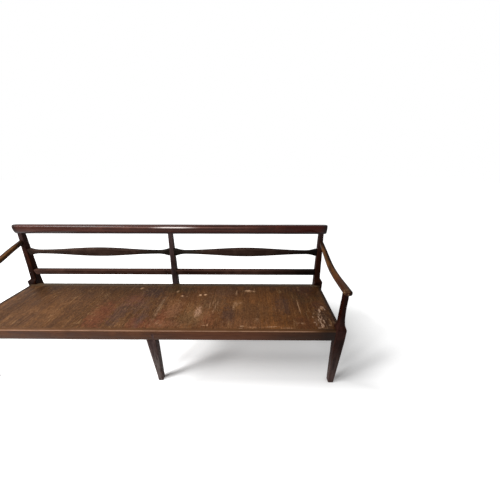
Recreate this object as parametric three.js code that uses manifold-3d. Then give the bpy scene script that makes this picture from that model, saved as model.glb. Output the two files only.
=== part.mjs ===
// A long open-backed country bench of joined timber: two bays, three legs along the front,
// three raked posts at the back, shaped back rails, downswept arms and a boarded seat.
// Millimetres. +X to the right as seen from the front, +Y to the back, +Z up.
// The sections are built with Y = 0 at the face of the front seat rail; the finished bench
// is then moved so that its origin is the middle of its footprint, on the floor.

import * as THREE from 'three';
import { mergeVertices } from 'three/addons/utils/BufferGeometryUtils.js';
import Module from 'manifold-3d';

const wasm = await Module();
wasm.setup();

// Overall sizes
const LEG_SPACING = 1060; // middle of the bench to the middle of an end leg
const SEAT_HEIGHT = 420;
const SEAT_DEPTH = 476; // face of the front rail to the back edge of the seat
const SEAT_OVERHANG = 5; // seat end past the middle of an end leg
const BACK_RAKE = THREE.MathUtils.degToRad(6.4);
const POST_SETBACK = 6; // face of the back posts in front of the seat's back edge
const CREST_OVERHANG = 22; // crest end past the outer face of an end post

// Clearances
const JOINT_GAP = 0.3; // round tenons, pegs and screws, and at scribed shoulders
const BOARD_GAP = 0.6; // between seat boards, and round what they are notched over
const OVERRUN = 5; // how far a cut runs past the wood

// Seat frame
const RAIL_DROP = 70; // top of the seat to the underside of the rails
const FRONT_RAIL_THICK = 36;
const BACK_RAIL_THICK = 32;
const SIDE_RAIL_THICK = 24;
const CROSS_RAIL_THICK = 24;
const NOSING_RADIUS = 11;
const FRONT_LIP = 14; // rail top left in front of the boards
const RAIL_EASE = 3; // rounding of a rail's lower front edge
const BOARD_THICK = 22;
const CLEAT_SIZE = 20; // square strip under the back ends of the boards
const TENON_THICK = 10;
const TENON_SHOULDER = 10; // rail above and below a tenon
const FRONT_TENON_LONG = 30;
const SIDE_TENON_LONG = 20;
const BACK_TENON_LONG = 16;
const CROSS_TENON_LONG = 14;
const TENON_SETBACK = 12; // face of the front rail to its tenon

// Seat boards, from the left end: their widths against each other
const BOARD_WIDTH_SHARES = [
  1.02, 1.01, 1.01, 0.99, 0.97, 1.01, 1.0, 1.06, 1.01, 1.02, 1.01, 0.92, 0.97, 1.06,
];

// Front legs, with the arm post in the same piece at the ends
const END_LEG_WIDE = 55;
const END_LEG_DEEP = 49;
const LEG_PROUD = 3; // end leg's face in front of the rail
const END_FOOT_WIDE = 31.5;
const END_FOOT_DEEP = 32.5;
const CENTRE_LEG_WIDE = 49.5;
const CENTRE_LEG_DEEP = 47;
const CENTRE_FOOT = 28.5;
const TONGUE_THICK = 12; // centre leg's lap in the face of the front rail
const TAPER_OUTER_SHARE = 0.47; // of a leg's taper, on its outer or front face
const CENTRE_FRONT_SHARE = 0.68; // of the centre leg's front-to-back taper, on its face
const EDGE_EASE = 2; // small flat on long edges
const FOOT_EASE = 3;
const LEG_SHOULDER = 4; // top of the leg's block above the seat
const SHOULDER_BEVEL = 22; // height of the sloped shoulder over the block

// Arm post: outer face past the inner face, at heights between shoulder and arm
const ARM_POST_WIDE = 25.5;
const ARM_POST_DEEP = 26;
const ARM_POST_SETIN = 8; // its inner face from the leg's inner face
const ARM_POST_SETBACK = 13; // its face behind the leg's face
const ARM_POST_SWELL = 13; // how much wider its outer side is at the foot
const SWELL_SHARES = [
  [0, 1],
  [0.07, 0.72],
  [0.21, 0.36],
  [0.38, 0.15],
  [0.62, 0],
  [1, 0.04],
];

// Back posts, with the back legs in the same piece
const POST_WIDE = 37;
const POST_TOP_WIDE = 28;
const POST_DEEP = 42;
const POST_TOP_DEEP = 28;
const END_POST_SETIN = 2.5; // inner face inside the front leg's inner face
const END_POST_BLOCK_WIDE = 53.5;
const POST_BLOCK_DEEP = 58;
const POST_BLOCK_FRONT = 18; // block's face in front of the seat's back edge
const POST_SHOULDER = 25; // block's top above the seat
const POST_BEVEL = 13;
const BACK_FOOT = 32;
const BACK_FOOT_SPLAY = 26; // back foot's face behind the face of its block

// Back rails, measured up the slope of the back
const CREST_RISE = 412.5; // seat to the middle of the crest
const CREST_HIGH = 62;
const CREST_DEEP = 44;
const CREST_END_ROUND = 20;
const CREST_SQUARE_SHARE = 0.8; // of an oval's curve: less is squarer
const CREST_FLAT_SHARE = 0.3; // depth of the flat end against the full section
const CREST_DROP_SHARE = 0.1; // height lost at the very end
const BACK_RAIL_SETBACK = 8; // face of the thin rails behind the post faces
const LOWER_RISE = 74.5; // seat to the underside of the lower rail
const LOWER_HIGH = 36;
const LOWER_DEEP = 20;
const LOZENGE_RISE = 246;
const LOZENGE_HIGH = 56;
const LOZENGE_NECK_HIGH = 20.5;
const LOZENGE_END_HIGH = 56;
const LOZENGE_DEEP = 18;
const LOZENGE_FLARE = 80; // neck to the post
const STUB_LONG = 9; // stub tenons of the thin rails
const STUB_HIGH = 14;
const STUB_THICK = 8;
const POST_TENON_WIDE = 16;
const POST_TENON_DEEP = 12;
const POST_TENON_LONG = 26;

// Arms
const ARM_HEIGHT = 233.5; // seat to the lowest point of the arm's middle line
const ARM_CREST_DROP = 91.5; // middle of the crest to the arm's middle line at the post
const ARM_THICK = 24;
const ARM_FRONT_WIDE = 42;
const ARM_REAR_WIDE = 23;
const ARM_NOSE = 12; // length of the rounded front end
const ARM_OVERHANG = 4; // arm's end in front of its post
const ARM_SQUARE_SHARE = 0.72; // of an oval's curve: less is squarer
const ARM_NOSE_SHARE = 0.55; // size of the blunt end against the full section
const ARM_TENON_WIDE = 12;
const ARM_TENON_HIGH = 15;
const ARM_TENON_LONG = 14;
const SCRIBE = 8; // post end let up round the rounded wood over it
// The arm's middle line, from the front: along the arm, and above its lowest point
const ARM_LINE_SHARES = [
  [0, 0.025],
  [0.17, 0.012],
  [0.34, 0],
  [0.523, 0.094],
  [0.66, 0.31],
  [0.83, 0.675],
  [1, 1],
];

// Corner blocks, pegs and screws
const CORNER_BLOCK_LEG = 50;
const CORNER_BLOCK_HIGH = 34;
const CORNER_BLOCK_DROP = 3; // block's top below the boards
const CORNER_GRIP = 14; // wood under a corner block's screw head
const PEG_DIAMETER = 8;
const TONGUE_PEG_LONG = 26;
const TONGUE_PEG_SPACING = 24;
const CREST_PEG_LONG = 25;
const SCREW_DIAMETER = 4;
const SCREW_HEAD = 8;
const SCREW_HEAD_DEEP = 3;
const SCREW_BITE = 18; // length of a screw in the far piece
const COUNTERBORE_LONG = 40; // how far a screw head's hole runs out past the head
const POST_SCREW_SPACING = 20;

// Facets
const ROUND_SIDES = 10;
const CREST_SIDES = 20;
const ARM_SIDES = 14;
const ARM_STEPS = 24;
const NOSE_STEPS = 4;
const LOZENGE_STEPS = 36;
const FLARE_STEPS = 6;
const NOSING_STEPS = 5;
const END_STEPS = 5;

// Derived places
const RAIL_BOTTOM = SEAT_HEIGHT - RAIL_DROP;
const BOARD_BOTTOM = SEAT_HEIGHT - BOARD_THICK;
const SEAT_END = LEG_SPACING + SEAT_OVERHANG;
const LEG_INNER = LEG_SPACING - END_LEG_WIDE / 2;
const LEG_OUTER = LEG_SPACING + END_LEG_WIDE / 2;
const LEG_BACK = END_LEG_DEEP - LEG_PROUD;
const BACK_RAIL_FRONT = SEAT_DEPTH - BACK_RAIL_THICK;
const SIDE_RAIL_INNER = SEAT_END - SIDE_RAIL_THICK;
const POST_FACE = SEAT_DEPTH - POST_SETBACK;
const POST_INNER = LEG_INNER - END_POST_SETIN;
const POST_BLOCK_FACE = SEAT_DEPTH - POST_BLOCK_FRONT;
const CREST_HALF = POST_INNER + (POST_WIDE + POST_TOP_WIDE) / 2 + CREST_OVERHANG;
const TENON_TOP = BOARD_BOTTOM - TENON_SHOULDER;
const TENON_BOTTOM = RAIL_BOTTOM + TENON_SHOULDER;
const TENON_Z = [TENON_BOTTOM, TENON_TOP];
const FRONT_TENON_Y = [TENON_SETBACK, TENON_SETBACK + TENON_THICK];
const BACK_TENON_Y = [SEAT_DEPTH - TENON_THICK - EDGE_EASE, SEAT_DEPTH - EDGE_EASE];
const SIDE_TENON_X = around(SIDE_RAIL_INNER + SIDE_RAIL_THICK / 2, TENON_THICK);
const CROSS_TENON_X = around(0, TENON_THICK);
const CREST_MIDDLE_DEPTH = POST_TOP_DEEP / 2;
const POST_MIDDLES = [-1, 0, 1].map((side) => side * (POST_INNER + POST_WIDE / 2));

// Shapes

function box(x, y, z) {
  const shape = new THREE.BoxGeometry(x[1] - x[0], y[1] - y[0], z[1] - z[0]);
  return shape.translate((x[0] + x[1]) / 2, (y[0] + y[1]) / 2, (z[0] + z[1]) / 2);
}

// Skins a run of rings that have the same number of points, and closes both ends.
function loft(rings) {
  const count = rings[0].length;
  const points = rings.flat();
  const faces = [];
  for (let r = 0; r + 1 < rings.length; r += 1) {
    for (let i = 0; i < count; i += 1) {
      const a = r * count + i;
      const b = r * count + ((i + 1) % count);
      faces.push(a, b, b + count, a, b + count, a + count);
    }
  }
  const last = (rings.length - 1) * count;
  for (let i = 1; i + 1 < count; i += 1) {
    faces.push(0, i + 1, i, last, last + i, last + i + 1);
  }
  const shape = new THREE.BufferGeometry().setFromPoints(points);
  shape.setIndex(faces);
  return shape;
}

// A level, four-sided ring with a small flat on each corner.
function levelRing(x, y, z, ease) {
  const corners = [
    [x[0] + ease, y[0]],
    [x[1] - ease, y[0]],
    [x[1], y[0] + ease],
    [x[1], y[1] - ease],
    [x[1] - ease, y[1]],
    [x[0] + ease, y[1]],
    [x[0], y[1] - ease],
    [x[0], y[0] + ease],
  ];
  return corners.map(([px, py]) => new THREE.Vector3(px, py, z));
}

// A rounded ring in a plane of constant X or Y: a superellipse, flatter than an oval.
function roundRing(sides, squareness, place) {
  const ring = [];
  for (let i = 0; i < sides; i += 1) {
    const angle = (2 * Math.PI * i) / sides;
    const c = Math.cos(angle);
    const s = Math.sin(angle);
    ring.push(place(Math.sign(c) * Math.abs(c) ** squareness, Math.sign(s) * Math.abs(s) ** squareness));
  }
  return ring;
}

function cylinder(axis, diameter, from, to, place) {
  const shape = new THREE.CylinderGeometry(diameter / 2, diameter / 2, Math.abs(to - from), ROUND_SIDES);
  const middle = { ...place, [axis]: (from + to) / 2 };
  if (axis === 'x') shape.rotateZ(Math.PI / 2);
  if (axis === 'z') shape.rotateX(Math.PI / 2);
  return shape.translate(middle.x, middle.y, middle.z);
}

// Solids

function solid(geometry) {
  const bare = geometry.clone();
  bare.deleteAttribute('normal');
  bare.deleteAttribute('uv');
  const merged = mergeVertices(bare);
  return new wasm.Manifold(
    new wasm.Mesh({
      numProp: 3,
      vertProperties: new Float32Array(merged.attributes.position.array),
      triVerts: new Uint32Array(merged.index.array),
    }),
  );
}

function geometryOf(body) {
  const mesh = body.getMesh();
  const geometry = new THREE.BufferGeometry();
  geometry.setAttribute('position', new THREE.BufferAttribute(new Float32Array(mesh.vertProperties), 3));
  geometry.setIndex(new THREE.BufferAttribute(new Uint32Array(mesh.triVerts), 1));
  return geometry;
}

function joined(first, ...others) {
  return others.reduce((body, other) => body.add(solid(other)), solid(first));
}

function carve(body, ...cuts) {
  return cuts.reduce((rest, cut) => rest.subtract(solid(cut)), body);
}

function mirrored(geometry) {
  const copy = geometry.clone().scale(-1, 1, 1);
  const index = Array.from(copy.index.array);
  for (let i = 0; i < index.length; i += 3) {
    [index[i + 1], index[i + 2]] = [index[i + 2], index[i + 1]];
  }
  copy.setIndex(index);
  return copy;
}

function grown(range, by = JOINT_GAP) {
  return [range[0] - by, range[1] + by];
}

function around(middle, size) {
  return [middle - size / 2, middle + size / 2];
}

// The back is built upright in front of its own origin, then leaned on to the posts.
const LEAN = new THREE.Matrix4()
  .makeTranslation(0, POST_FACE, SEAT_HEIGHT)
  .multiply(new THREE.Matrix4().makeRotationX(-BACK_RAKE));

function leaned(geometry) {
  return geometry.applyMatrix4(LEAN);
}

function leanedPoint(x, depth, rise) {
  return new THREE.Vector3(x, depth, rise).applyMatrix4(LEAN);
}

// Height of a point that lies a given rise up the slope, at a given depth behind the faces.
function heightAt(rise, depth) {
  return leanedPoint(0, depth, rise).z;
}

function postFaceAt(z) {
  return POST_FACE + (z - SEAT_HEIGHT) * Math.tan(BACK_RAKE);
}

const POST_BLOCK_TOP = SEAT_HEIGHT + POST_SHOULDER;
const POST_FOOT = POST_BLOCK_TOP + POST_BEVEL;
const POST_TOP = heightAt(CREST_RISE, CREST_DEEP / 2) - CREST_HIGH / 2 + SCRIBE * 2;

// How far up the tapered part of a back post a height is, from 0 to 1.
function postShare(z) {
  return THREE.MathUtils.clamp((z - POST_FOOT) / (POST_TOP - POST_FOOT), 0, 1);
}

function postWideAt(z) {
  return THREE.MathUtils.lerp(POST_WIDE, POST_TOP_WIDE, postShare(z));
}

function postDeepAt(z) {
  return THREE.MathUtils.lerp(POST_DEEP, POST_TOP_DEEP, postShare(z));
}

// Both sides of the right-hand end post: it tapers equally from its middle.
function endPostSides(z) {
  return around(POST_INNER + POST_WIDE / 2, postWideAt(z));
}

// Pegs and screws: each is made at its own size, or grown to cut its hole.

const TENON_MIDDLE = (TENON_BOTTOM + TENON_TOP) / 2;

// Pegs through the outer faces of an end leg and an end post, into the side rail's tenons.
function sidePegs(grow) {
  const fit = (outer, y) =>
    cylinder('x', PEG_DIAMETER + 2 * grow, SIDE_TENON_X[0] - grow, outer + (grow && OVERRUN), {
      y,
      z: TENON_MIDDLE,
    });
  return [
    fit(LEG_OUTER, LEG_BACK - SIDE_TENON_LONG / 2),
    fit(POST_INNER + END_POST_BLOCK_WIDE, POST_BLOCK_FACE + SIDE_TENON_LONG / 2),
  ];
}

function tonguePegs(grow) {
  return around(0, TONGUE_PEG_SPACING).map((x) =>
    cylinder('y', PEG_DIAMETER + 2 * grow, grow && -OVERRUN, TONGUE_PEG_LONG + grow, {
      x,
      z: TENON_MIDDLE,
    }),
  );
}

// Pegs through the back of the crest into the tenons of the posts.
function crestPegs(grow) {
  const back = CREST_MIDDLE_DEPTH + CREST_DEEP / 2;
  const rise = CREST_RISE - (CREST_HIGH - POST_TENON_LONG) / 2;
  const from = back - CREST_PEG_LONG - grow;
  const to = back - EDGE_EASE + (grow && OVERRUN);
  return POST_MIDDLES.map((x) =>
    leaned(cylinder('y', PEG_DIAMETER + 2 * grow, from, to, { x, z: rise })),
  );
}

// A round-headed screw along an axis: its head starts at one place, its point is at another.
function screw(axis, head, point, place, grow) {
  const way = Math.sign(point - head);
  const shank = cylinder(axis, SCREW_DIAMETER + 2 * grow, head, point + way * grow, place);
  const under = head + way * (SCREW_HEAD_DEEP + grow);
  const out = head - way * (grow && COUNTERBORE_LONG);
  const top = cylinder(axis, SCREW_HEAD + 2 * grow, out, under, place);
  return geometryOf(joined(shank, top));
}

const CORNER_BLOCK_Z = [
  BOARD_BOTTOM - CORNER_BLOCK_DROP - CORNER_BLOCK_HIGH,
  BOARD_BOTTOM - CORNER_BLOCK_DROP,
];

// Screws of the two right-hand corner blocks: into the side rail, and the front or back rail.
function cornerScrews(grow) {
  const z = (CORNER_BLOCK_Z[0] + CORNER_BLOCK_Z[1]) / 2;
  const half = CORNER_BLOCK_LEG / 2;
  const head = CORNER_GRIP + SCREW_HEAD_DEEP;
  const side = [SIDE_RAIL_INNER - head, SIDE_RAIL_INNER + SCREW_BITE];
  const front = [FRONT_RAIL_THICK + head, FRONT_RAIL_THICK - SCREW_BITE];
  const back = [BACK_RAIL_FRONT - head, BACK_RAIL_FRONT + SCREW_BITE];
  return [
    screw('x', ...side, { y: LEG_BACK + half, z }, grow),
    screw('x', ...side, { y: BACK_RAIL_FRONT - half, z }, grow),
    screw('y', ...front, { x: LEG_INNER - half, z }, grow),
    screw('y', ...back, { x: SIDE_RAIL_INNER - half, z }, grow),
  ];
}

// Screws through the middle back post into the back rail.
function postScrews(grow) {
  return around(0, POST_SCREW_SPACING).map((x) =>
    screw('y', POST_FACE + POST_DEEP, POST_FACE - SCREW_BITE, { x, z: TENON_MIDDLE }, grow),
  );
}

// Arms

const ARM_LOWEST = SEAT_HEIGHT + ARM_HEIGHT;
const ARM_RISE = heightAt(CREST_RISE, 0) - ARM_CREST_DROP - ARM_LOWEST;
const ARM_FRONT = ARM_POST_SETBACK - LEG_PROUD - ARM_OVERHANG;
const ARM_INNER = LEG_INNER + ARM_POST_SETIN;
const ARM_REACH = postFaceAt(ARM_LOWEST + ARM_RISE) - ARM_FRONT;

function armLine() {
  const points = ARM_LINE_SHARES.map(
    ([along, up]) => new THREE.Vector2(ARM_FRONT + along * ARM_REACH, ARM_LOWEST + up * ARM_RISE),
  );
  return new THREE.SplineCurve(points);
}

function armWideAt(along) {
  const flare = 1 - (along + along ** 2) / 2;
  return THREE.MathUtils.lerp(ARM_REAR_WIDE, ARM_FRONT_WIDE, flare);
}

function armRing(line, along, size) {
  const at = line.getPoint(along);
  const wide = armWideAt(along);
  const lean = line.getTangent(along);
  const thick = ARM_THICK / Math.abs(lean.x);
  return roundRing(ARM_SIDES, ARM_SQUARE_SHARE, (up, out) => {
    const x = ARM_INNER + wide / 2 + (out * size * wide) / 2;
    return new THREE.Vector3(x, at.x, at.y + (up * size * thick) / 2);
  });
}

// The whole arm before it is fitted: it runs a little way into the back post.
function armBlank() {
  const line = armLine();
  const nose = ARM_NOSE / ARM_REACH;
  const rings = [];
  for (let i = 0; i < NOSE_STEPS; i += 1) {
    const turn = (i / NOSE_STEPS) * (Math.PI / 2);
    const size = THREE.MathUtils.lerp(ARM_NOSE_SHARE, 1, Math.sin(turn));
    rings.push(armRing(line, nose * (1 - Math.cos(turn)), size));
  }
  for (let i = 0; i <= ARM_STEPS; i += 1) {
    rings.push(armRing(line, nose + (i / ARM_STEPS) * (1 - nose), 1));
  }
  const last = rings.at(-1).map((point) => point.clone().add(new THREE.Vector3(0, OVERRUN * 2, 0)));
  return loft([...rings, last]);
}

function armPostTenon(grow) {
  const middleX = ARM_INNER + ARM_POST_WIDE / 2;
  const middleY = ARM_FRONT + ARM_OVERHANG + ARM_POST_DEEP / 2;
  const underside = ARM_LOWEST - ARM_THICK / 2;
  return box(grown(around(middleX, ARM_TENON_WIDE), grow), grown(around(middleY, ARM_TENON_WIDE), grow), [
    underside - SCRIBE,
    underside + ARM_TENON_LONG + grow,
  ]);
}

function armRearTenon(grow) {
  const z = ARM_LOWEST + ARM_RISE;
  const middleX = ARM_INNER + ARM_REAR_WIDE / 2;
  return box(
    grown(around(middleX, ARM_TENON_WIDE), grow),
    [postFaceAt(z) - SCRIBE, postFaceAt(z) + ARM_TENON_LONG + grow],
    grown(around(z, ARM_TENON_HIGH), grow),
  );
}

function arm() {
  const behind = leaned(
    box(
      [0, 2 * LEG_SPACING],
      [-JOINT_GAP, 2 * POST_DEEP],
      [0, CREST_RISE],
    ),
  );
  const cut = carve(solid(armBlank()), behind, armPostTenon(JOINT_GAP));
  return cut.add(solid(armRearTenon(0)));
}

// Front legs

function armPostRings() {
  const foot = SEAT_HEIGHT + LEG_SHOULDER + SHOULDER_BEVEL;
  const top = ARM_LOWEST - ARM_THICK / 2 + SCRIBE;
  const face = ARM_FRONT + ARM_OVERHANG;
  return SWELL_SHARES.map(([up, swell]) => {
    const sides = [ARM_INNER, ARM_INNER + ARM_POST_WIDE + ARM_POST_SWELL * swell];
    const deep = grown([face, face + ARM_POST_DEEP], EDGE_EASE * swell);
    return levelRing(sides, deep, THREE.MathUtils.lerp(foot, top, up), EDGE_EASE);
  });
}

// Rings of a tapered leg, from the floor to the underside of the rails.
function taperRings(footX, footY, blockX, blockY) {
  const worn = FOOT_EASE / 2;
  return [
    levelRing(grown(footX, -worn), grown(footY, -worn), 0, EDGE_EASE),
    levelRing(footX, footY, FOOT_EASE, EDGE_EASE),
    levelRing(blockX, blockY, RAIL_BOTTOM, EDGE_EASE),
  ];
}

function endLegBlank() {
  const footOuter = LEG_OUTER - (END_LEG_WIDE - END_FOOT_WIDE) * TAPER_OUTER_SHARE;
  const footFace = (END_LEG_DEEP - END_FOOT_DEEP) * TAPER_OUTER_SHARE - LEG_PROUD;
  const footX = [footOuter - END_FOOT_WIDE, footOuter];
  const footY = [footFace, footFace + END_FOOT_DEEP];
  const blockX = [LEG_INNER, LEG_OUTER];
  const blockY = [-LEG_PROUD, LEG_BACK];
  return loft([
    ...taperRings(footX, footY, blockX, blockY),
    levelRing(blockX, blockY, SEAT_HEIGHT + LEG_SHOULDER, EDGE_EASE),
    ...armPostRings(),
  ]);
}

function frontEndLeg() {
  const lowered = solid(armBlank().translate(0, 0, -JOINT_GAP));
  const scribed = solid(endLegBlank()).subtract(lowered).add(solid(armPostTenon(0)));
  const frontMortise = box(
    [LEG_INNER - OVERRUN, LEG_INNER + FRONT_TENON_LONG + JOINT_GAP],
    grown(FRONT_TENON_Y),
    grown(TENON_Z),
  );
  const sideMortise = box(
    grown(SIDE_TENON_X),
    [LEG_BACK - SIDE_TENON_LONG - JOINT_GAP, LEG_BACK + OVERRUN],
    grown(TENON_Z),
  );
  return carve(scribed, frontMortise, sideMortise, ...sidePegs(JOINT_GAP));
}

function centreFrontLeg() {
  const footFace = (CENTRE_LEG_DEEP - CENTRE_FOOT) * CENTRE_FRONT_SHARE;
  const wide = around(0, CENTRE_LEG_WIDE);
  const leg = loft(
    taperRings(around(0, CENTRE_FOOT), [footFace, footFace + CENTRE_FOOT], wide, [0, CENTRE_LEG_DEEP]),
  );
  const tongue = loft([
    levelRing(wide, [0, CENTRE_LEG_DEEP], RAIL_BOTTOM, EDGE_EASE),
    levelRing(wide, [0, CENTRE_LEG_DEEP], BOARD_BOTTOM, EDGE_EASE),
  ]);
  const behind = box(
    grown(wide, OVERRUN),
    [TONGUE_THICK, CENTRE_LEG_DEEP + OVERRUN],
    [RAIL_BOTTOM, BOARD_BOTTOM + OVERRUN],
  );
  return carve(joined(leg, tongue), behind, ...tonguePegs(JOINT_GAP));
}

// Seat frame

function frontRailOutline() {
  const outline = new THREE.Shape();
  outline.moveTo(RAIL_EASE, RAIL_BOTTOM);
  outline.lineTo(FRONT_RAIL_THICK, RAIL_BOTTOM);
  outline.lineTo(FRONT_RAIL_THICK, BOARD_BOTTOM);
  outline.lineTo(FRONT_LIP, BOARD_BOTTOM);
  outline.lineTo(FRONT_LIP, SEAT_HEIGHT);
  outline.lineTo(NOSING_RADIUS, SEAT_HEIGHT);
  outline.absarc(NOSING_RADIUS, SEAT_HEIGHT - NOSING_RADIUS, NOSING_RADIUS, Math.PI / 2, Math.PI, false);
  outline.lineTo(0, RAIL_BOTTOM + RAIL_EASE);
  return outline;
}

// Turns an outline drawn across the bench (Y, Z) into a bar along X.
function barAlongX(outline, from, to) {
  const options = { depth: to - from, bevelEnabled: false, curveSegments: NOSING_STEPS };
  const bar = new THREE.ExtrudeGeometry(outline, options);
  const turn = new THREE.Matrix4().makeBasis(
    new THREE.Vector3(0, 1, 0),
    new THREE.Vector3(0, 0, 1),
    new THREE.Vector3(1, 0, 0),
  );
  return bar.applyMatrix4(turn).translate(from, 0, 0);
}

function frontRail() {
  const reach = LEG_INNER + FRONT_TENON_LONG;
  const tenon = box([-reach, reach], FRONT_TENON_Y, TENON_Z);
  const lap = box(
    grown(around(0, CENTRE_LEG_WIDE)),
    [-OVERRUN, TONGUE_THICK],
    [RAIL_BOTTOM - OVERRUN, BOARD_BOTTOM + JOINT_GAP],
  );
  const crossMortise = box(
    grown(CROSS_TENON_X),
    [FRONT_RAIL_THICK - CROSS_TENON_LONG - JOINT_GAP, FRONT_RAIL_THICK + OVERRUN],
    grown(TENON_Z),
  );
  const body = joined(barAlongX(frontRailOutline(), -LEG_INNER, LEG_INNER), tenon);
  const screwHoles = bothEnds(cornerScrews(JOINT_GAP));
  return carve(body, lap, crossMortise, ...tonguePegs(JOINT_GAP), ...screwHoles);
}

function backRail() {
  const reach = POST_INNER + BACK_TENON_LONG;
  const body = joined(
    box([-POST_INNER, POST_INNER], [BACK_RAIL_FRONT, SEAT_DEPTH], [RAIL_BOTTOM, SEAT_HEIGHT]),
    box([-SEAT_END, SEAT_END], [BACK_RAIL_FRONT, POST_BLOCK_FACE], [BOARD_BOTTOM, SEAT_HEIGHT]),
    box([-reach, reach], BACK_TENON_Y, TENON_Z),
  );
  const housing = box(
    grown(around(0, POST_WIDE)),
    [POST_FACE, SEAT_DEPTH + OVERRUN],
    [RAIL_BOTTOM - OVERRUN, SEAT_HEIGHT + OVERRUN],
  );
  const crossMortise = box(
    grown(CROSS_TENON_X),
    [BACK_RAIL_FRONT - OVERRUN, BACK_RAIL_FRONT + CROSS_TENON_LONG + JOINT_GAP],
    grown(TENON_Z),
  );
  const screwHoles = [...bothEnds(cornerScrews(JOINT_GAP)), ...postScrews(JOINT_GAP)];
  return carve(body, housing, crossMortise, ...screwHoles);
}

function sideRail() {
  const rail = box([SIDE_RAIL_INNER, SEAT_END], [LEG_BACK, POST_BLOCK_FACE], [RAIL_BOTTOM, BOARD_BOTTOM]);
  const tenon = box(
    SIDE_TENON_X,
    [LEG_BACK - SIDE_TENON_LONG, POST_BLOCK_FACE + SIDE_TENON_LONG],
    TENON_Z,
  );
  return carve(joined(rail, tenon), ...sidePegs(JOINT_GAP), ...cornerScrews(JOINT_GAP));
}

function crossRail() {
  const tenonY = [FRONT_RAIL_THICK - CROSS_TENON_LONG, BACK_RAIL_FRONT + CROSS_TENON_LONG];
  return joined(
    box(around(0, CROSS_RAIL_THICK), [FRONT_RAIL_THICK, BACK_RAIL_FRONT], [RAIL_BOTTOM, BOARD_BOTTOM]),
    box(CROSS_TENON_X, tenonY, TENON_Z),
  );
}

function cleat() {
  return box(
    [CROSS_RAIL_THICK / 2, SIDE_RAIL_INNER - CORNER_BLOCK_LEG],
    [BACK_RAIL_FRONT - CLEAT_SIZE, BACK_RAIL_FRONT],
    [BOARD_BOTTOM - CLEAT_SIZE, BOARD_BOTTOM],
  );
}

function cornerBlock(corners) {
  const outline = new THREE.Shape(corners.map(([x, y]) => new THREE.Vector2(x, y)));
  const block = new THREE.ExtrudeGeometry(outline, { depth: CORNER_BLOCK_HIGH, bevelEnabled: false });
  return carve(solid(block.translate(0, 0, CORNER_BLOCK_Z[0])), ...cornerScrews(JOINT_GAP));
}

function frontCornerBlock() {
  return cornerBlock([
    [LEG_INNER - CORNER_BLOCK_LEG, FRONT_RAIL_THICK],
    [LEG_INNER, FRONT_RAIL_THICK],
    [LEG_INNER, LEG_BACK],
    [SIDE_RAIL_INNER, LEG_BACK],
    [SIDE_RAIL_INNER, LEG_BACK + CORNER_BLOCK_LEG],
  ]);
}

function backCornerBlock() {
  return cornerBlock([
    [SIDE_RAIL_INNER, BACK_RAIL_FRONT],
    [SIDE_RAIL_INNER - CORNER_BLOCK_LEG, BACK_RAIL_FRONT],
    [SIDE_RAIL_INNER, BACK_RAIL_FRONT - CORNER_BLOCK_LEG],
  ]);
}

// Seat boards

function boardEdges() {
  const whole = BOARD_WIDTH_SHARES.reduce((sum, share) => sum + share, 0);
  const edges = [-SEAT_END];
  for (const share of BOARD_WIDTH_SHARES) {
    edges.push(edges.at(-1) + (2 * SEAT_END * share) / whole);
  }
  return edges;
}

function seatBoard(from, to) {
  const half = BOARD_GAP / 2;
  const end = (edge) => (Math.abs(edge) < SEAT_END ? half : 0);
  const board = box(
    [from + end(from), to - end(to)],
    [FRONT_LIP + BOARD_GAP, BACK_RAIL_FRONT - BOARD_GAP],
    [BOARD_BOTTOM, SEAT_HEIGHT],
  );
  const legNotches = [-1, 1].map((side) =>
    box(
      grown(side < 0 ? [-LEG_OUTER, -LEG_INNER] : [LEG_INNER, LEG_OUTER], BOARD_GAP),
      [-OVERRUN, LEG_BACK + BOARD_GAP],
      [BOARD_BOTTOM - OVERRUN, SEAT_HEIGHT + OVERRUN],
    ),
  );
  return carve(solid(board), ...legNotches);
}

// Back

function postRing(sides, z) {
  const face = postFaceAt(z);
  return levelRing(sides, [face, face + postDeepAt(z)], z, EDGE_EASE);
}

function endPostBlank() {
  const blockX = [POST_INNER, POST_INNER + END_POST_BLOCK_WIDE];
  const blockY = [POST_BLOCK_FACE, POST_BLOCK_FACE + POST_BLOCK_DEEP];
  const footOuter = blockX[1] - (END_POST_BLOCK_WIDE - BACK_FOOT) * TAPER_OUTER_SHARE;
  const footX = [footOuter - BACK_FOOT, footOuter];
  const footFace = POST_BLOCK_FACE + BACK_FOOT_SPLAY;
  return loft([
    ...taperRings(footX, [footFace, footFace + BACK_FOOT], blockX, blockY),
    levelRing(blockX, blockY, POST_BLOCK_TOP, EDGE_EASE),
    ...[POST_FOOT, POST_TOP].map((z) => postRing(endPostSides(z), z)),
  ]);
}

function centrePostBlank() {
  const wide = around(0, POST_WIDE);
  const blockY = [POST_FACE, POST_FACE + POST_DEEP];
  const footFace = POST_FACE + BACK_FOOT_SPLAY;
  return loft([
    ...taperRings(around(0, BACK_FOOT), [footFace, footFace + BACK_FOOT], wide, blockY),
    levelRing(wide, blockY, SEAT_HEIGHT, EDGE_EASE),
    ...[POST_FOOT, POST_TOP].map((z) => postRing(around(0, postWideAt(z)), z)),
  ]);
}

// The tenons at the tops of the posts, up into the crest.
function postTenons(grow) {
  const rise = CREST_RISE - CREST_HIGH / 2;
  const deep = grown(around(CREST_MIDDLE_DEPTH, POST_TENON_DEEP), grow);
  const high = [rise - SCRIBE, rise + POST_TENON_LONG + grow];
  return POST_MIDDLES.map((x) => leaned(box(grown(around(x, POST_TENON_WIDE), grow), deep, high)));
}

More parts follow.
